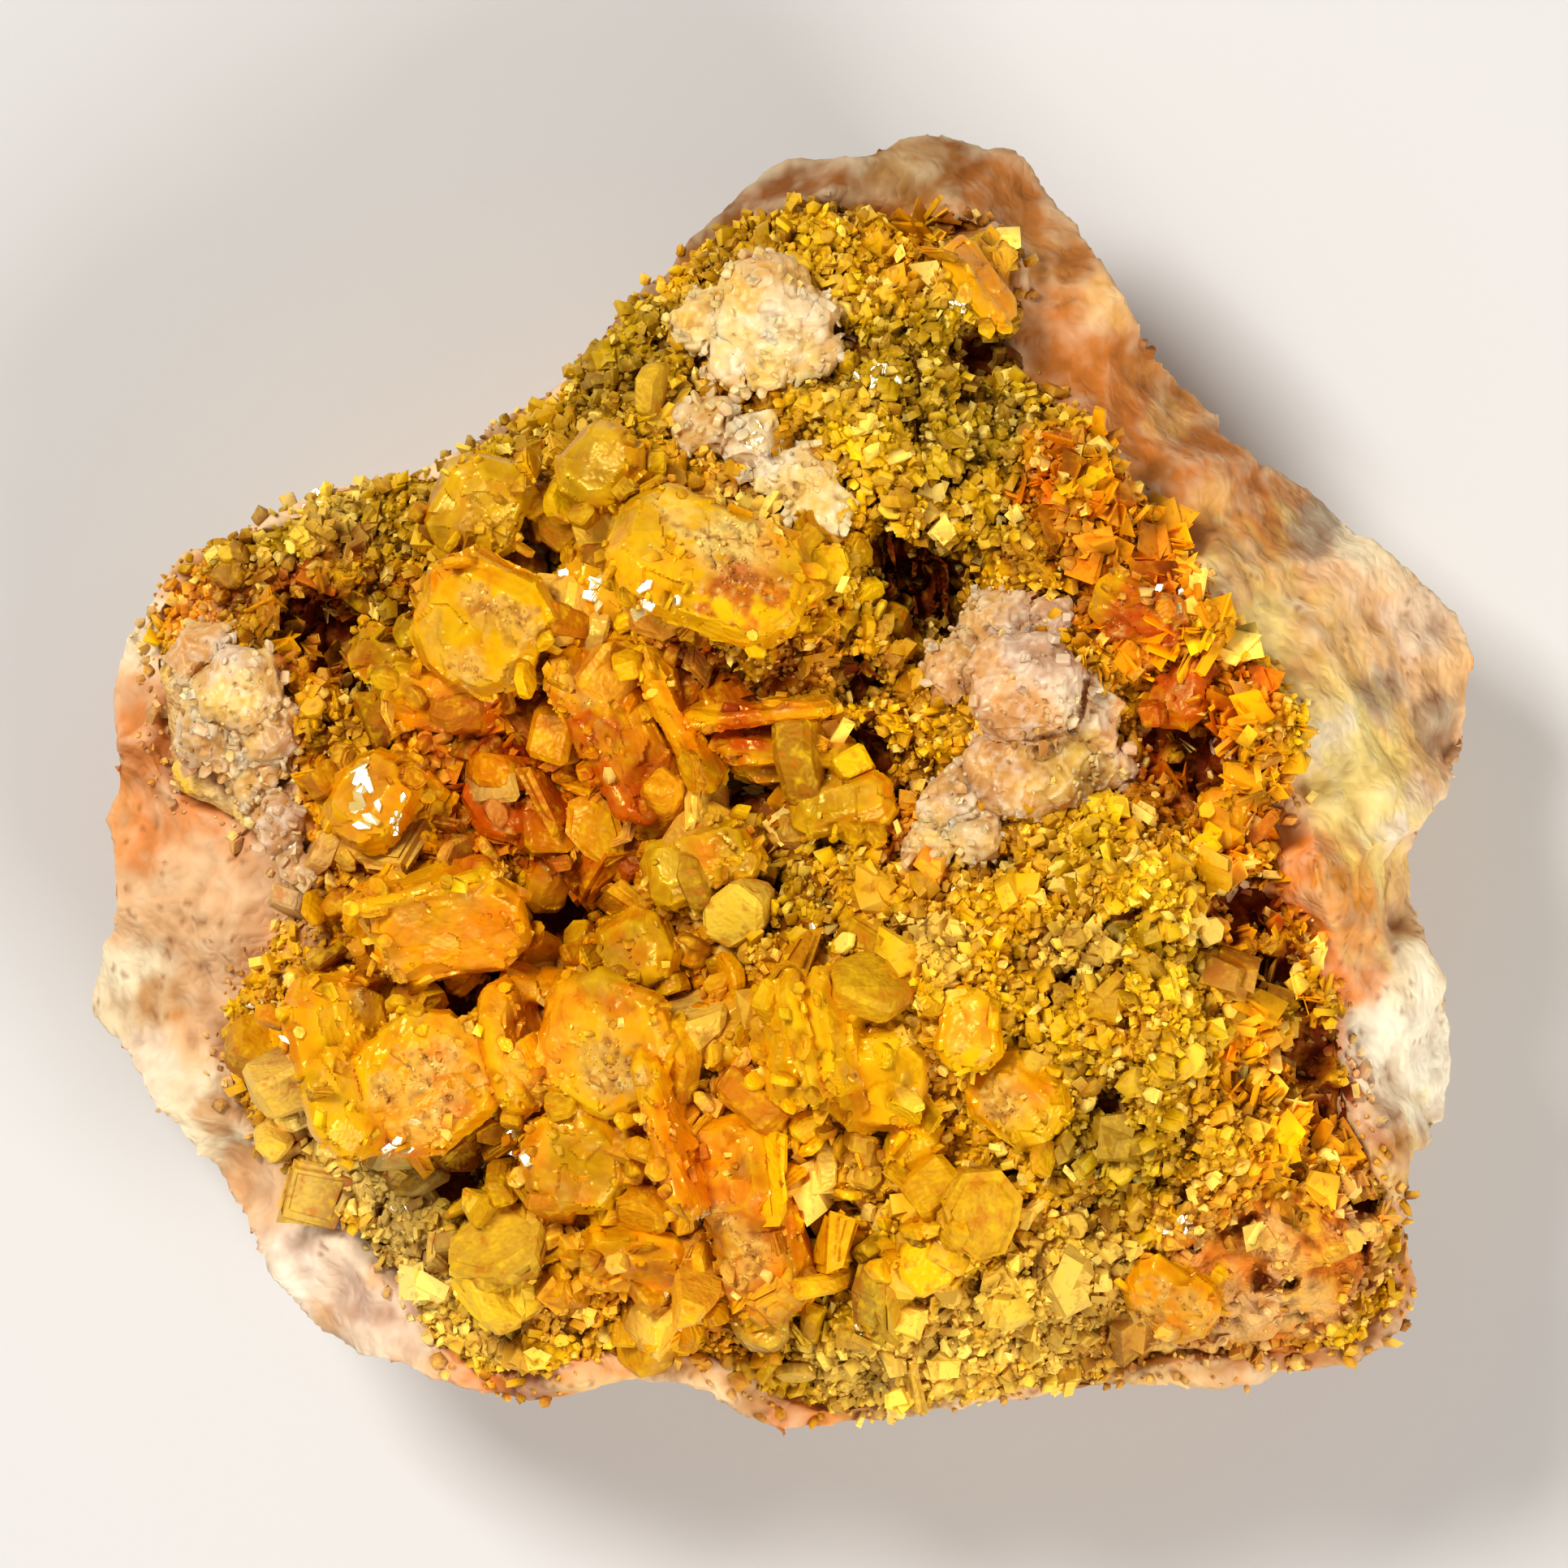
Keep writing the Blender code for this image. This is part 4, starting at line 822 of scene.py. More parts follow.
def readDust(points, normals, broad, edge, number):
    # how exposed each vertex is, its share of each dusty place, and how much dust lies there
    ragged = 0.6 * cloud(points, 0.7, number + 9) + 0.4 * cloud(points, 0.25, number + 10)
    exposed = np.clip((np.abs(normals @ broad) - 0.7 + 0.4 * ragged) / 0.2, 0, 1)
    exposed *= np.clip(2 * normals[:, 2] + 0.3, 0, 1) * np.clip(1.1 - 1.6 * edge + 0.7 * ragged, 0, 1)
    exposed *= np.clip(0.9 + 1.1 * cloud(points, 1.3, number + 9), 0, 1)
    stray = 0.3 * cloud(points, 1.2, number + 7)
    shares = [(name, blobWeight(points, blobs, stray) * exposed) for name, blobs in crystal["dusty"]]
    dust = np.maximum.reduce([crystal["thinDust"] * exposed, *[here for name, here in shares]])
    return exposed, shares, dust


def growCrystals():
    # every cloud takes its seed from the crystal's own number
    pieces = []
    for number, nodeName in enumerate(sorted(frame["nodes"])):
        if not nodeName.startswith("wulfenite"):
            continue
        piece = copyNode(nodeName, nodeName.replace("wulfenite", "crystal"), crystal["voxel"], 1)
        points, normals = readSurface(piece)
        edge = readRelief(piece, rounds=8, depth=0.07)
        broad = np.linalg.eigh(normals.T @ normals)[1][:, 2]  # the way that the broad faces look
        flat = np.clip((np.abs(normals @ broad) - 0.75) / 0.15, 0, 1)
        exposed, dustShares, dust = readDust(points, normals, broad, edge, number)
        grains = cloud(points, 0.24, number + 20)
        pits = np.clip(-2.5 * cloud(points, 0.36, number + 21) - 1.3, 0, 1)
        layers = np.floor(1.7 * cloud(points, 2.6, number) + 0.5 * cloud(points, 0.9, number + 40))
        phase = points @ broad * math.tau / crystal["linePitch"] + 1.5 * cloud(points, 3, number)
        lines = np.sign(np.sin(phase))
        height = crystal["swell"] * cloud(points, 1.3, number + 60) + crystal["step"] * layers * flat
        patches, value = flatPatches(points, normals, number)
        height += patches - crystal["chip"] * np.clip(edge, 0, 1) * np.clip(value, 0, 1)
        height += crystal["lineDepth"] * lines * (1 - flat)
        height += dust * (crystal["grit"] * grains - crystal["pit"] * pits)
        writeVertices(piece, points + normals * height[:, None])
        colors = zoneColors(points, crystal["base"], crystal["zones"])
        colors *= 0.95 + (0.16 * cloud(points, 1.2, number + 80) + 0.1 * np.clip(value, -1.5, 1.5))[:, None]
        drift = cloud(points, 1.7, number + 90)
        # ember in the hollows is painted shade, and lemon on the edges a painted glow
        colors = layColors(colors, ("fire", -0.7 * drift - 0.12), ("lemon", 0.6 * drift - 0.1),
                           ("ember", -0.8 * edge), ("lemon", 0.8 * edge))
        colors = layColors(
            paintZones(points, colors, crystal["fiery"]),
            ("beige", 0.55 * crystal["thinDust"] * exposed),
            *[(name, 0.8 * here) for name, here in dustShares],
            ("butter", dust * np.clip(1.2 * grains - 0.4, 0, 0.7)),
            ("bronze", dust * np.clip(-1.3 * grains - 0.35, 0, 0.7)),
            ("rust", 0.6 * np.clip(2 * dust, 0, 1) * pits),
        )
        writeColors(piece, "tint", colors)
        writeNumbers(piece, "wear", 0.12 + 0.88 * dust)
        writeColors(piece, "growth", colors * 1.1)
        up = normals[:, 2] * (points[:, 2] < crystal["bareAbove"])
        writeNumbers(piece, "sprinkle", 0.7 * np.clip(2 * dust - 0.7, 0, 1) * (up > 0.1))
        rough = cloud(points, 1.6, number + 11)
        writeNumbers(piece, "overgrowth", (up > 0) * np.clip(edge + rough - 0.1, 0, 1))
        writeNumbers(piece, "regrowth", (up > -0.2) * np.clip(2 * edge, 0, 1) * (rough > -0.35))
        shadeByAngle(piece, 28)
        dress(piece, amberFinish, "wulfenite", nodeName)
        pieces.append(piece)
    say("crystals", triangleCount(*pieces), "largest", max(triangleCount(p) for p in pieces))
    return pieces


calcite = {
    "voxel": 0.085 * mm,
    "swell": 0.22 * mm,
    "petals": [("VORONOI", 1.5, -0.4, 0.3)],
    "leafStep": 0.1, "sugar": 0.045, "grain": 0.035,  # stacked leaves, coarse and fine grain, mm
    "base": "sand", "shadeBy": 0.88,
    "zones": [
        ("apricot", 0.85, [(8, 2, 4), (-17.5, 1, 4), (-16, -3, 2)]),
        ("beige", 0.45, [(-2, 14.4, 3)]),
        ("butter", 0.4, [(0, 10, 3), (-17.6, 2, 2.2)]),
        ("rose", 0.7, [(8.2, 4.4, 1.5), (-17.5, 4, 0.9), (6.2, -1, 0.8)]),
        ("chalk", 0.6, [(-1, 10.8, 1.4), (0, 14.5, 1), (-2, 14, 0.8), (9.4, 2.6, 0.8)]),
        ("beige", 0.6, [(8.8, 0.6, 1.6), (6.6, -0.4, 1.2), (5.6, -2.6, 1), (-17.6, -0.6, 1.2),
            (-15.6, -3, 1)]),
        ("straw", 0.5, [(-2.5, 15, 1.8), (9, 0.6, 1.6), (1, 8.6, 1.4), (5.5, -2, 1.6), (0, 13, 1.2),
            (-17.8, 2.6, 1)]),
        ("tan", 0.5, [(8.5, 5, 1.2), (7.4, 1.4, 1.2), (6, -0.5, 1.2), (-15.5, -1.5, 1.2), (-18.4, 1.4, 1)]),
    ],
}


def growCalcite():
    pieces = []
    for nodeName in sorted(frame["nodes"]):
        if not nodeName.startswith("calcite"):
            continue
        piece = copyNode(nodeName, nodeName + "_cluster", calcite["voxel"], 3)
        applyModifier(piece, "DISPLACE", strength=calcite["swell"], mid_level=0.0)
        roughen(piece, calcite["petals"])
        points, normals = readSurface(piece)
        leaves = np.floor(2.4 * cloud(points, 1.9, 31) + 0.25 * cloud(points, 0.5, 32))
        grain = cloud(points, 0.2, 36)
        height = calcite["leafStep"] * leaves + calcite["sugar"] * cloud(points, 0.42, 33)
        height += calcite["grain"] * grain
        writeVertices(piece, points + normals * height[:, None])
        applyModifier(piece, "SMOOTH", factor=0.5, iterations=1)
        relief = readRelief(piece, rounds=6, depth=0.1)
        colors = zoneColors(points, calcite["base"], calcite["zones"])
        # painted highlight on the ridges with pale grain, and painted shade of tan in the hollows
        highlightAndGrain = 0.25 * relief + 0.2 * np.clip(grain, 0, 1)
        colors = layColors(colors, ("tan", -0.7 * relief), ("white", highlightAndGrain))
        colors *= calcite["shadeBy"]
        writeColors(piece, "tint", colors)
        writeNumbers(piece, "wear", 0.5 - 0.5 * relief)
        writeColors(piece, "growth", colors)
        up = readVertices(piece, "normal")[:, 2]
        writeNumbers(piece, "sprinkle", (up > 0) * (cloud(points, 1.4, 34) > 0.2))
        writeNumbers(piece, "spar", (up > -0.3) * np.clip(2 * relief + 0.7 * cloud(points, 1.6, 35), 0, 1))
        shadeByAngle(piece, 45)
        dress(piece, calciteFinish, "calcite", nodeName)
        pieces.append(piece)
    say("calcite", triangleCount(*pieces))
    return pieces


stonePiece = growStone()
crustPiece = growCrust()
crystalPieces = growCrystals()
calcitePieces = growCalcite()


# Small crystals: each kind is modelled once, with its foot at the origin, and grown over what carries it

around = {"center_override": (0, 0, 0)}  # turns go round the origin


def startGrain(name):
    # the primitive just added, named and open for editing with all of it selected
    grain = bpy.context.object
    grain.name = name
    startEdit()
    return grain


def finishGrain(grain):
    # the tip mark runs from 0 at the foot of the grain to 1 at its top
    height = readVertices(grain)[:, 2]
    writeNumbers(grain, "tip", (height - height.min()) / np.ptp(height))
    return grain


def modelTablet(name, sides, shape, layered, standing, seed):
    width, length, thickness = shape
    choose()
    bpy.ops.mesh.primitive_cylinder_add(vertices=sides, radius=0.5, depth=thickness)
    tablet = startGrain(name)
    bpy.ops.mesh.select_mode(type="VERT")
    bpy.ops.mesh.select_all(action="SELECT")
    bpy.ops.transform.rotate(value=math.pi / sides, orient_axis="Z", **around)
    bpy.ops.transform.resize(value=(width, length, 1))
    bpy.ops.transform.vertex_random(offset=0.13, seed=seed)
    if layered:
        bpy.ops.object.mode_set(mode="OBJECT")
        for polygon in tablet.data.polygons:
            polygon.select = len(polygon.vertices) == sides and abs(polygon.normal.z) > 0.6
        bpy.ops.object.mode_set(mode="EDIT")
        bpy.ops.mesh.select_mode(type="FACE")
        bpy.ops.mesh.inset(thickness=0.1, use_individual=True)
        bpy.ops.mesh.extrude_region_shrink_fatten(TRANSFORM_OT_shrink_fatten={"value": 0.03})
        bpy.ops.transform.translate(value=(0.04, -0.03, 0))
        bpy.ops.mesh.select_all(action="SELECT")
    else:
        bpy.ops.mesh.bevel(offset=0.1 * thickness + 0.03, segments=1, affect="EDGES")
    if standing:
        bpy.ops.transform.rotate(value=math.pi / 2, orient_axis="X", **around)
        bpy.ops.transform.translate(value=(0, 0, 0.28 * length))
    else:
        bpy.ops.transform.translate(value=(0, 0, 0.3 * thickness))
    bpy.ops.mesh.normals_make_consistent(inside=False)
    bpy.ops.object.mode_set(mode="OBJECT")
    return finishGrain(tablet)


def modelCluster(name, members, shape, spread, seed):
    # rough little blocks grown through each other
    dice = np.random.default_rng(seed)
    choose()
    blocks = []
    for number in range(members):
        bpy.ops.mesh.primitive_cube_add(size=1)
        block = startGrain(name)
        bpy.ops.transform.vertex_random(offset=0.24, seed=seed * 10 + number)
        bpy.ops.transform.resize(value=tuple(np.array(shape) * dice.uniform(0.7, 1.2, 3)))
        for axis, most in (("Z", math.pi), ("X", 0.9), ("Y", 0.9)):
            bpy.ops.transform.rotate(value=dice.uniform(-most, most), orient_axis=axis, **around)
        east, north = spread * dice.uniform(-1, 1, 2)
        bpy.ops.transform.translate(value=(east, north, dice.uniform(0.1, 0.4)))
        bpy.ops.object.mode_set(mode="OBJECT")
        blocks.append(block)
    return finishGrain(joinPieces(name, blocks))


def modelGranule(name, shape, seed):
    choose()
    bpy.ops.mesh.primitive_ico_sphere_add(subdivisions=1, radius=0.5)
    granule = startGrain(name)
    bpy.ops.transform.vertex_random(offset=0.2, seed=seed)
    bpy.ops.transform.resize(value=shape)
    bpy.ops.transform.translate(value=(0, 0, 0.25))
    bpy.ops.object.mode_set(mode="OBJECT")
    return finishGrain(granule)


def makeKit(name, grains):
    kit = bpy.data.collections.new(name)
    bpy.context.scene.collection.children.link(kit)
    for grain in grains:
        for holder in list(grain.users_collection):
            holder.objects.unlink(grain)
        kit.objects.link(grain)
    return kit


# tablets: sides, (width, length, thickness), layered, standing, seed
# clusters: members, size of one, how far they spread, seed
tabletKit = makeKit("tabletKit", [
    modelTablet("leaningTablet", 7, (1.0, 1.1, 0.34), False, True, 1),
    modelTablet("tallTablet", 6, (0.8, 1.3, 0.3), False, True, 2),
    modelTablet("squareTablet", 4, (1.3, 1.25, 0.3), True, True, 3),
    modelTablet("lyingTablet", 8, (1.1, 0.95, 0.4), True, False, 4),
    modelTablet("wedgeTablet", 5, (0.9, 1.2, 0.46), False, True, 5),
    modelTablet("thickTablet", 6, (1.0, 1.0, 0.55), False, False, 6),
])
blockKit = makeKit("blockKit", [
    modelCluster("blockCluster", 4, (0.62, 0.5, 0.4), 0.26, 21),
    modelCluster("plateCluster", 4, (0.65, 0.5, 0.28), 0.24, 22),
    modelCluster("stubCluster", 3, (0.4, 0.42, 0.75), 0.2, 23),
    modelCluster("twin", 2, (0.8, 0.7, 0.36), 0.16, 24),
    modelTablet("roughTablet", 6, (1.0, 1.0, 0.4), False, False, 9),
])
shardKit = makeKit("shardKit", [
    modelCluster("shard", 1, (0.6, 0.5, 0.75), 0.0, 31),
    modelCluster("splitShard", 2, (0.55, 0.4, 0.4), 0.18, 33),
    modelGranule("granule", (0.9, 0.8, 0.85), 34),
    modelGranule("longGranule", (0.6, 0.65, 1.2), 35),
])
sparKit = makeKit("sparKit", [
    modelTablet("leaf", 7, (0.9, 1.2, 0.34), False, True, 61),
    modelTablet("rhomb", 4, (1.0, 1.1, 0.5), False, False, 62),
    modelCluster("sparCluster", 3, (0.6, 0.5, 0.35), 0.22, 64),
    modelGranule("sparGranule", (0.9, 0.8, 0.7), 65),
])
bladeKit = makeKit("bladeKit", [
    modelCluster("ruffle", 3, (0.9, 0.08, 1.1), 0.3, 41),
    modelCluster("crossedBlades", 2, (1.0, 0.1, 0.8), 0.1, 42),
    modelCluster("sliver", 2, (0.35, 0.12, 1.2), 0.2, 43),
    modelCluster("flake", 2, (0.8, 0.7, 0.12), 0.2, 44),
])
crumbKit = makeKit("crumbKit", [modelCluster("crumb", 1, (0.8, 0.7, 0.6), 0.0, 51),
                                modelCluster("flatCrumb", 1, (0.9, 0.7, 0.35), 0.0, 52)])


def vectorNode(tree, operation, inputs):
    return addNode(tree, "ShaderNodeVectorMath", inputs, operation=operation).outputs[0]


def randomValue(tree, seed):
    return addNode(tree, "FunctionNodeRandomValue", {"Seed": seed}, data_type="FLOAT").outputs[1]


def randomVector(tree, seed, low, high):
    inputs = {"Min": low, "Max": high, "Seed": seed}
    return addNode(tree, "FunctionNodeRandomValue", inputs, data_type="FLOAT_VECTOR").outputs["Value"]


def groundValue(tree, name, kind):
    inputs = {"Name": name}
    return addNode(tree, "GeometryNodeInputNamedAttribute", inputs, data_type=kind).outputs["Attribute"]


def buildScatter(name, ground, kit, settings):
    tree = bpy.data.node_groups.new(name + "Scatter", "GeometryNodeTree")
    for way in ("INPUT", "OUTPUT"):
        tree.interface.new_socket("Geometry", in_out=way, socket_type="NodeSocketGeometry")
    spacing, seed, upright = settings["spacing"] * mm, settings["seed"], (0, 0, settings["upright"])
    smallest, largest = settings["size"]
    lean = math.radians(settings["lean"])
    source = addNode(tree, "GeometryNodeObjectInfo", {"Object": ground}, transform_space="RELATIVE")
    points = addNode(tree, "GeometryNodeDistributePointsOnFaces", {
        "Mesh": source.outputs["Geometry"], "Density Factor": groundValue(tree, settings["mask"], "FLOAT"),
        "Distance Min": spacing, "Density Max": 1.6 / spacing**2, "Seed": seed,
    }, distribute_method="POISSON")
    kitInfo = addNode(tree, "GeometryNodeCollectionInfo", {
        "Collection": kit, "Separate Children": True, "Reset Children": True})
    facing = vectorNode(tree, "ADD", {0: points.outputs["Normal"], 1: upright})
    align = addNode(tree, "FunctionNodeAlignRotationToVector", {"Vector": facing}, axis="Z")
    rotate = addNode(tree, "FunctionNodeRotateRotation", {
        "Rotation": align.outputs["Rotation"],
        "Rotate By": randomVector(tree, seed + 1, (-lean, -lean, 0), (lean, lean, math.tau)),
    }, rotation_space="LOCAL")
    skew = mathNode(tree, "POWER", randomValue(tree, seed + 2), settings["rarity"])
    stretch = randomVector(tree, seed + 4, (0.7, 0.7, 0.7), (1.3, 1.3, 1.3))
    scale = rangeNode(tree, skew, 0.0, 1.0, smallest * mm, largest * mm)
    geometry = addNode(tree, "GeometryNodeInstanceOnPoints", {
        "Points": points.outputs["Points"], "Instance": kitInfo.outputs["Instances"], "Pick Instance": True,
        "Rotation": rotate.outputs["Rotation"],
        "Scale": vectorNode(tree, "SCALE", {0: stretch, "Scale": scale}),
    }).outputs["Instances"]
    for attributeName, kind, value in (("tone", "FLOAT", randomValue(tree, seed + 3)),
                                       ("tint", "FLOAT_COLOR", groundValue(tree, "growth", "FLOAT_COLOR"))):
        geometry = addNode(tree, "GeometryNodeStoreNamedAttribute", {
            "Geometry": geometry, "Name": attributeName, "Value": value,
        }, data_type=kind, domain="INSTANCE").outputs["Geometry"]
    real = addNode(tree, "GeometryNodeRealizeInstances", {"Geometry": geometry})
    addNode(tree, "NodeGroupOutput", {"Geometry": real.outputs["Geometry"]})
    return tree


def growGrains(name, ground, kit, settings, material, slotName):
    choose()
    bpy.ops.mesh.primitive_plane_add(size=1 * mm)  # only carries the modifier, which leaves it out
    piece = bpy.context.object
    piece.name = piece.data.name = name
    applyModifier(piece, "NODES", node_group=buildScatter(name, ground, kit, settings))
    kept = ("tone", "tint", "tip", "position", "material_index", "sharp_face")
    for extra in [a.name for a in piece.data.attributes if not a.name.startswith(".")]:
        if extra not in kept:
            piece.data.attributes.remove(piece.data.attributes[extra])
    dress(piece, material, slotName)
    say(name, triangleCount(piece))


rim = {
    # how far the druse strays over the stone around it, and what counts as far from it, mm
    "reach": 0.9, "far": 9.0,
    "lowest": 3,  # mm, so that nothing grows near the floor
    # where it covers the stone up to its edge
    "covered": [(-19.7, 7, 1.4), (-18, 8.6, 1.6), (-16, 9.6, 1.7), (-14, 10.6, 1.6), (-11.5, 11.4, 1.5),
        (-9, 12.4, 1.5), (-6.4, 14.2, 1.4), (-4, 15.8, 1.2), (-13, -13.5, 1), (-11.5, -15, 1)],
    "clean": [(0, 18.9, 1.7), (2.6, 19.4, 1.7), (5, 19.8, 1.2), (-2.8, 17.9, 1.2), (15.3, 8, 1.2),
        (16.8, 5, 1.2)],
}


def markRim():
    # marks the stone near the crust, where the last small crystals grow
    tree = KDTree(len(crustPiece.data.vertices))
    for index, vertex in enumerate(crustPiece.data.vertices):
        tree.insert(vertex.co, index)
    tree.balance()
    points, normals = readSurface(stonePiece)
    away = np.full(len(points), rim["far"])
    for index in np.flatnonzero((normals[:, 2] > 0) & (points[:, 2] > rim["lowest"])):
        away[index] = tree.find(Vector(points[index] * mm))[2] / mm
    near = np.clip(1.2 - away / rim["reach"] + 0.4 * cloud(points, 1.0, 61), 0, 1)
    near *= away < 2 * rim["reach"]
    covered = blobWeight(points, rim["covered"], 0.3 * cloud(points, 1.2, 62)) * (normals[:, 2] > 0)
    near *= 1 - blobWeight(points, rim["clean"], 0.3 * cloud(points, 1.2, 63))
    writeNumbers(stonePiece, "rim", np.maximum(near, covered) * (away > 0.1))
    growth = zoneColors(points, crust["growthBase"], crust["growth"])
    share = np.maximum(np.clip(1 - 0.7 * away / rim["reach"], 0.1, 0.8), covered)[:, None]
    plain = zoneColors(points, stone["base"], stone["zones"])
    writeColors(stonePiece, "growth", growth * share + plain * (1 - share))


markRim()
growGrains("tablets", crustPiece, tabletKit, {
    "mask": "tablets", "spacing": 1.05, "size": (1.2, 2.9), "rarity": 1.6,
    "lean": 50, "upright": 0.8, "seed": 41,
}, tabletFinish, "wulfenite")
growGrains("small_tablets", crustPiece, tabletKit, {
    "mask": "tablets", "spacing": 0.56, "size": (0.5, 1.3), "rarity": 1.6,
    "lean": 60, "upright": 0.5, "seed": 51,
}, tabletFinish, "wulfenite")
growGrains("blocks", crustPiece, blockKit, {
    "mask": "blocks", "spacing": 0.46, "size": (0.36, 1.0), "rarity": 2.4,
    "lean": 60, "upright": 0.4, "seed": 61,
}, grainFinish, "crust")
growGrains("lumps", crustPiece, blockKit, {
    "mask": "lumps", "spacing": 1.6, "size": (1.0, 1.9), "rarity": 1.5,
    "lean": 50, "upright": 0.6, "seed": 171,
}, grainFinish, "crust")
growGrains("small_blocks", crustPiece, shardKit, {
    "mask": "everywhere", "spacing": 0.28, "size": (0.22, 0.7), "rarity": 1.8,
    "lean": 60, "upright": 0.2, "seed": 71,
}, grainFinish, "crust")
growGrains("blades", crustPiece, bladeKit, {
    "mask": "blades", "spacing": 0.36, "size": (0.4, 1.2), "rarity": 1.8,
    "lean": 50, "upright": 0.6, "seed": 81,
}, bladeFinish, "crust")
growGrains("crumbs", crustPiece, crumbKit, {
    "mask": "everywhere", "spacing": 0.24, "size": (0.12, 0.4), "rarity": 1.8,
    "lean": 80, "upright": 0.0, "seed": 91,
}, crumbFinish, "crust")
growGrains("rim_grains", stonePiece, shardKit, {
    "mask": "rim", "spacing": 0.26, "size": (0.16, 0.7), "rarity": 2.0,
    "lean": 60, "upright": 0.2, "seed": 131,
}, grainFinish, "crust")
crystalGround = joinPieces("crystalGround", [duplicate(piece) for piece in crystalPieces])
growGrains("crystal_dust", crystalGround, crumbKit, {
    "mask": "sprinkle", "spacing": 0.13, "size": (0.05, 0.15), "rarity": 1.6,
    "lean": 80, "upright": 0.0, "seed": 101,
}, crumbFinish, "crust")
growGrains("overgrowth", crystalGround, crumbKit, {
    "mask": "overgrowth", "spacing": 0.34, "size": (0.14, 0.55), "rarity": 2.2,
    "lean": 60, "upright": 0.0, "seed": 121,
}, grainFinish, "crust")
growGrains("parallel_growth", crystalGround, tabletKit, {
    "mask": "regrowth", "spacing": 0.5, "size": (0.3, 1.1), "rarity": 2.0,
    "lean": 40, "upright": 0.2, "seed": 151,
}, tabletFinish, "wulfenite")
calciteGround = joinPieces("calciteGround", [duplicate(piece) for piece in calcitePieces])
growGrains("calcite_spar", calciteGround, sparKit, {
    "mask": "spar", "spacing": 0.3, "size": (0.14, 0.6), "rarity": 2.0,
    "lean": 60, "upright": 0.1, "seed": 161,
}, sparFinish, "calcite")
growGrains("calcite_sugar", calciteGround, shardKit, {
    "mask": "sprinkle", "spacing": 0.4, "size": (0.14, 0.4), "rarity": 2.0,
    "lean": 70, "upright": 0.0, "seed": 111,
}, crumbFinish, "calcite")
for extra in (crystalGround, calciteGround):
    bpy.data.objects.remove(extra)


studio = {
    "keySize": 0.14, "keyPower": 2.35, "keyPlace": (-0.22, 0.2, 0.43),
    "fillSize": 0.26, "fillPower": 2.1, "fillPlace": (0.27, -0.3, 0.34),
    "worldLight": 0.3, "worldColor": (1.0, 0.97, 0.93, 1), "floorColor": (0.62, 0.6, 0.57, 1),
    "floorSize": 3,
}


# Clear facets that catch the key light
facets = {
    # lengths in mm: each place gets this many facets, scattered by a share of its size
    "each": 10, "jitter": 0.05, "scatter": 0.38, "thickness": 0.3, "dropFrom": 50, "seed": 141,
    # x, y and size in mm
    "places": [(-6.4, 5.8, 1.3), (-4.6, 5.9, 1.1), (-13.3, -0.5, 1.2), (-12.4, -1.2, 0.6),
        (-9.1, -11.6, 1.2), (-12.3, -11.6, 0.9), (-12.2, -13.6, 0.6), (-2.8, -13.8, 0.5), (3.1, 12.8, 1),
        (5.5, 15.3, 0.6), (0.6, -4.8, 0.7), (4.9, -3, 0.7), (12.8, -14.3, 0.9), (-16.3, -8, 1),
        (-4, -16.6, 0.9), (-15, 9.4, 0.9), (12.6, 6, 0.8), (-1, 11, 0.6), (2.6, -17.4, 0.6)],
}


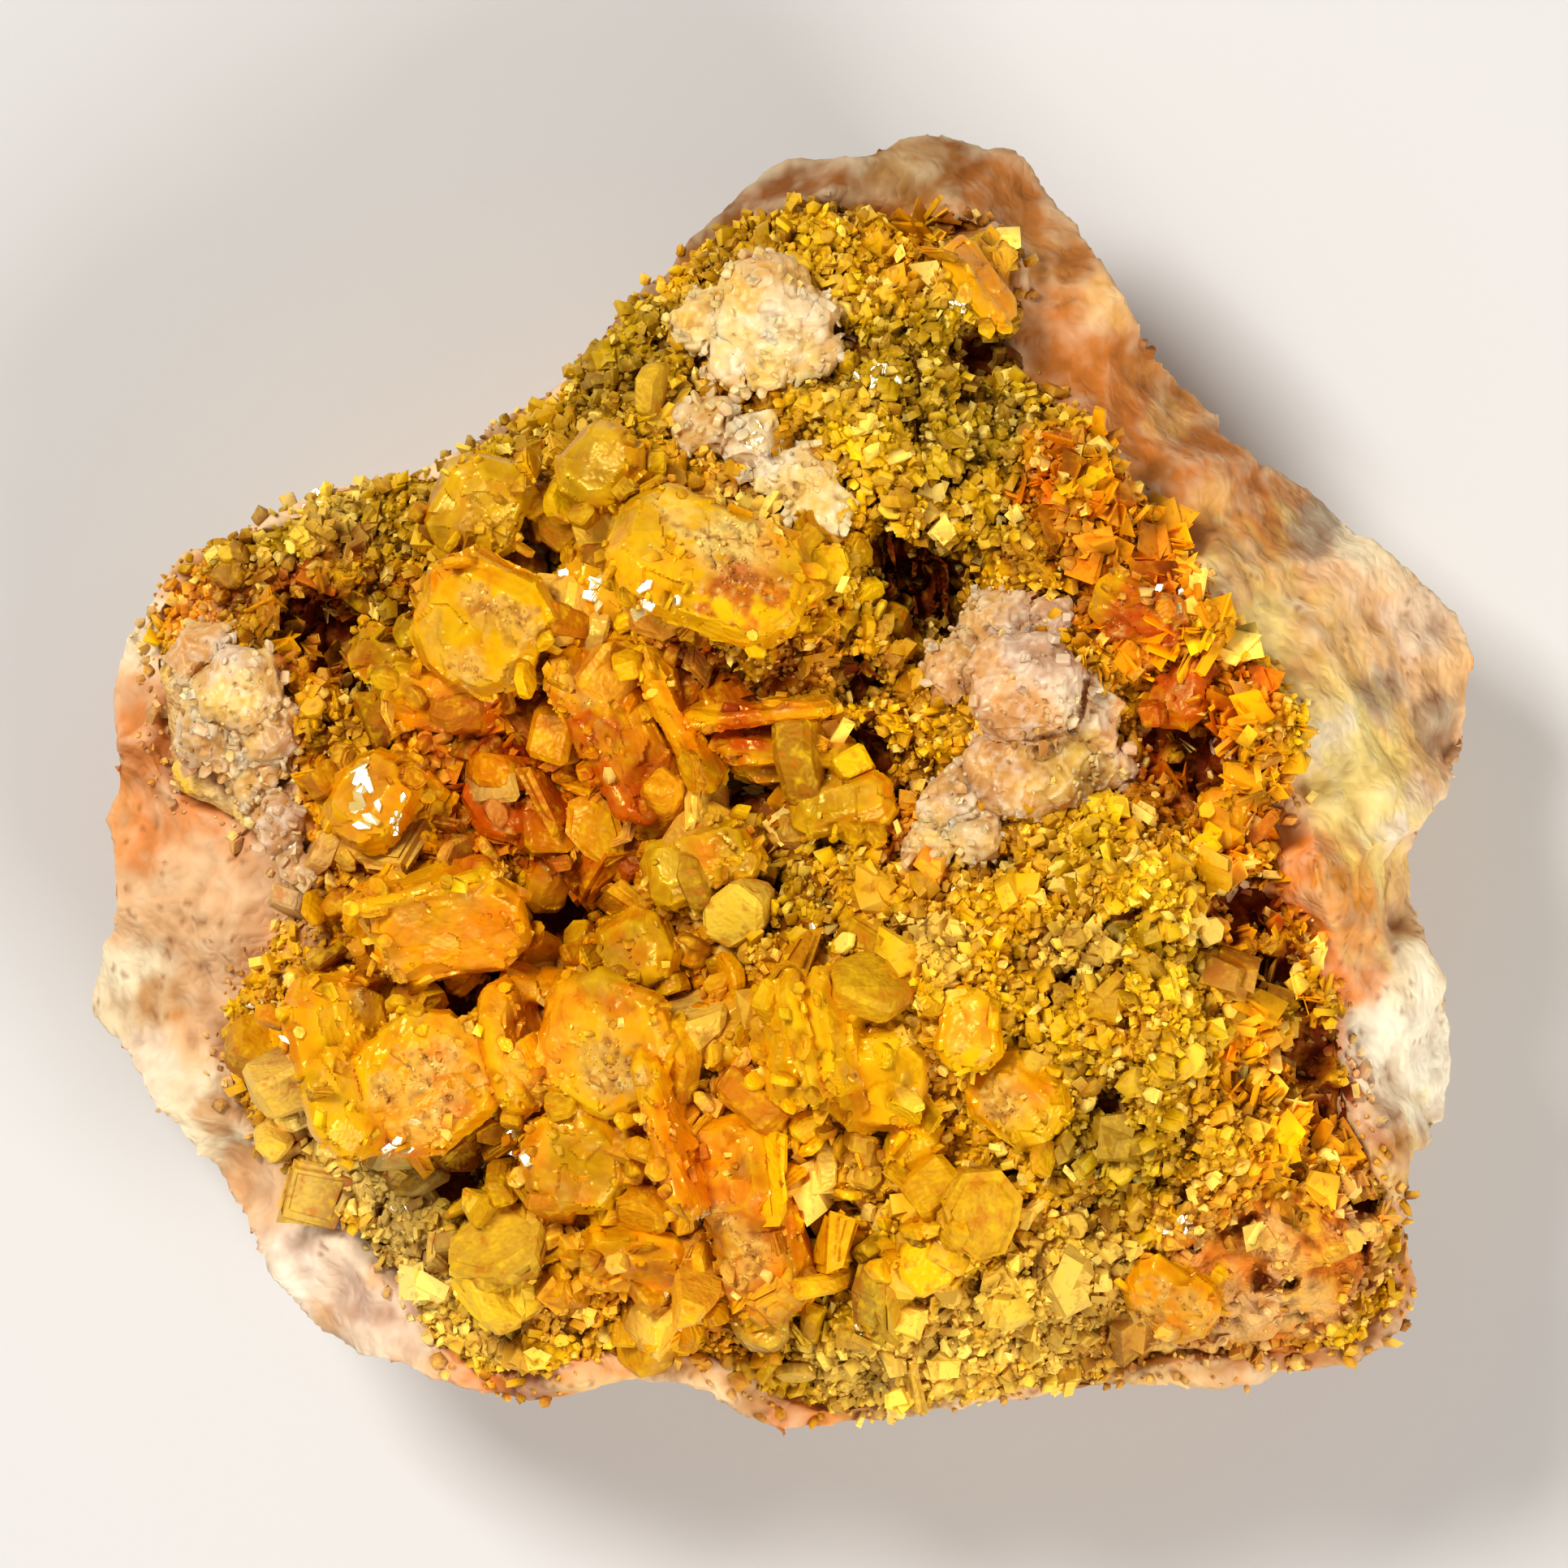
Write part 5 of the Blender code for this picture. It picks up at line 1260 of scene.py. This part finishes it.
def growFacets():
    dice = np.random.default_rng(facets["seed"])
    facet = modelTablet("facet", 5, (0.9, 1.3, 0.3), False, False, 12)
    copies = []
    # facing halfway between the light and the camera, they glint
    halfway = Vector(studio["keyPlace"]).normalized() + Vector((0, 0, 1))
    grounds = [stonePiece, crustPiece, *crystalPieces, *calcitePieces]
    for x, y, size in facets["places"]:
        for _ in range(facets["each"]):
            east, north = np.array([x, y]) + facets["scatter"] * size * dice.normal(size=2)
            above = Vector((east, north, facets["dropFrom"])) * mm
            hits = [ground.ray_cast(above, (0, 0, -1)) for ground in grounds]
            heights = [hit[1].z for hit in hits if hit[0]]
            if not heights:
                continue
            place = Vector((above.x, above.y, max(heights)))
            facing = halfway.normalized() + Vector(facets["jitter"] * dice.normal(size=3))
            turn = facing.to_track_quat("Z", "Y")
            spin = Matrix.Rotation(dice.uniform(0, math.tau), 4, "Z")
            wide, long = size * mm * dice.uniform(0.15, 0.6, 2)
            shape = Matrix.Diagonal((wide, long, facets["thickness"] * mm, 1))
            twin = duplicate(facet)
            twin.data.transform(Matrix.Translation(place) @ turn.to_matrix().to_4x4() @ spin @ shape)
            copies.append(twin)
    bpy.data.objects.remove(facet)
    piece = joinPieces("clear_facets", copies)
    points = readVertices(piece)
    writeColors(piece, "tint", zoneColors(points, "butter", []))
    writeNumbers(piece, "tone", np.full(len(points), 0.5))
    dress(piece, facetFinish, "wulfenite")
    say("clear facets", triangleCount(piece))


growFacets()
for kit in (tabletKit, blockKit, shardKit, bladeKit, crumbKit, sparKit):
    for grain in list(kit.objects):
        bpy.data.objects.remove(grain)


camera = {
    "frameWidth": 50.3 * mm,  # what the frame spans at middleHeight
    "middleHeight": 10 * mm,
    "distance": 0.6,
    "sensor": 36.0,
}


def addSoftbox(name, place, size, power, aim=(0, 0, 0.01)):
    light = bpy.data.lights.new(name, "AREA")
    light.shape = "SQUARE"
    light.size = size
    light.energy = power
    holder = bpy.data.objects.new(name, light)
    holder.location = place
    holder.rotation_euler = (Vector(aim) - Vector(place)).to_track_quat("-Z", "Y").to_euler()
    bpy.context.scene.collection.objects.link(holder)


def setStage():
    choose()
    bpy.ops.mesh.primitive_plane_add(size=studio["floorSize"])
    floor = bpy.context.object
    floor.name = "floor"
    paper = bpy.data.materials.new("palePaper")
    paper.use_nodes = True
    fillInputs(paper.node_tree, paper.node_tree.nodes["Principled BSDF"], {
        "Base Color": studio["floorColor"], "Roughness": 0.9})
    floor.data.materials.append(paper)
    floor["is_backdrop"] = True
    for light in ("key", "fill"):
        addSoftbox(light + "Light", *[studio[light + what] for what in ("Place", "Size", "Power")])
    world = bpy.data.worlds.new("studio")
    world.use_nodes = True
    fillInputs(world.node_tree, world.node_tree.nodes["Background"], {
        "Color": studio["worldColor"], "Strength": studio["worldLight"]})
    bpy.context.scene.world = world
    bpy.context.scene.view_settings.view_transform = "Standard"


def setCamera():
    lens = bpy.data.cameras.new("camera")
    lens.sensor_width = camera["sensor"]
    lens.lens = camera["sensor"] * camera["distance"] / camera["frameWidth"]
    lens.clip_start = 0.01
    viewer = bpy.data.objects.new("camera", lens)
    viewer.location = (0, 0, camera["middleHeight"] + camera["distance"])
    bpy.context.scene.collection.objects.link(viewer)
    bpy.context.scene.camera = viewer


setStage()
setCamera()
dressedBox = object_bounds()
say("boxes", cadBox, dressedBox)
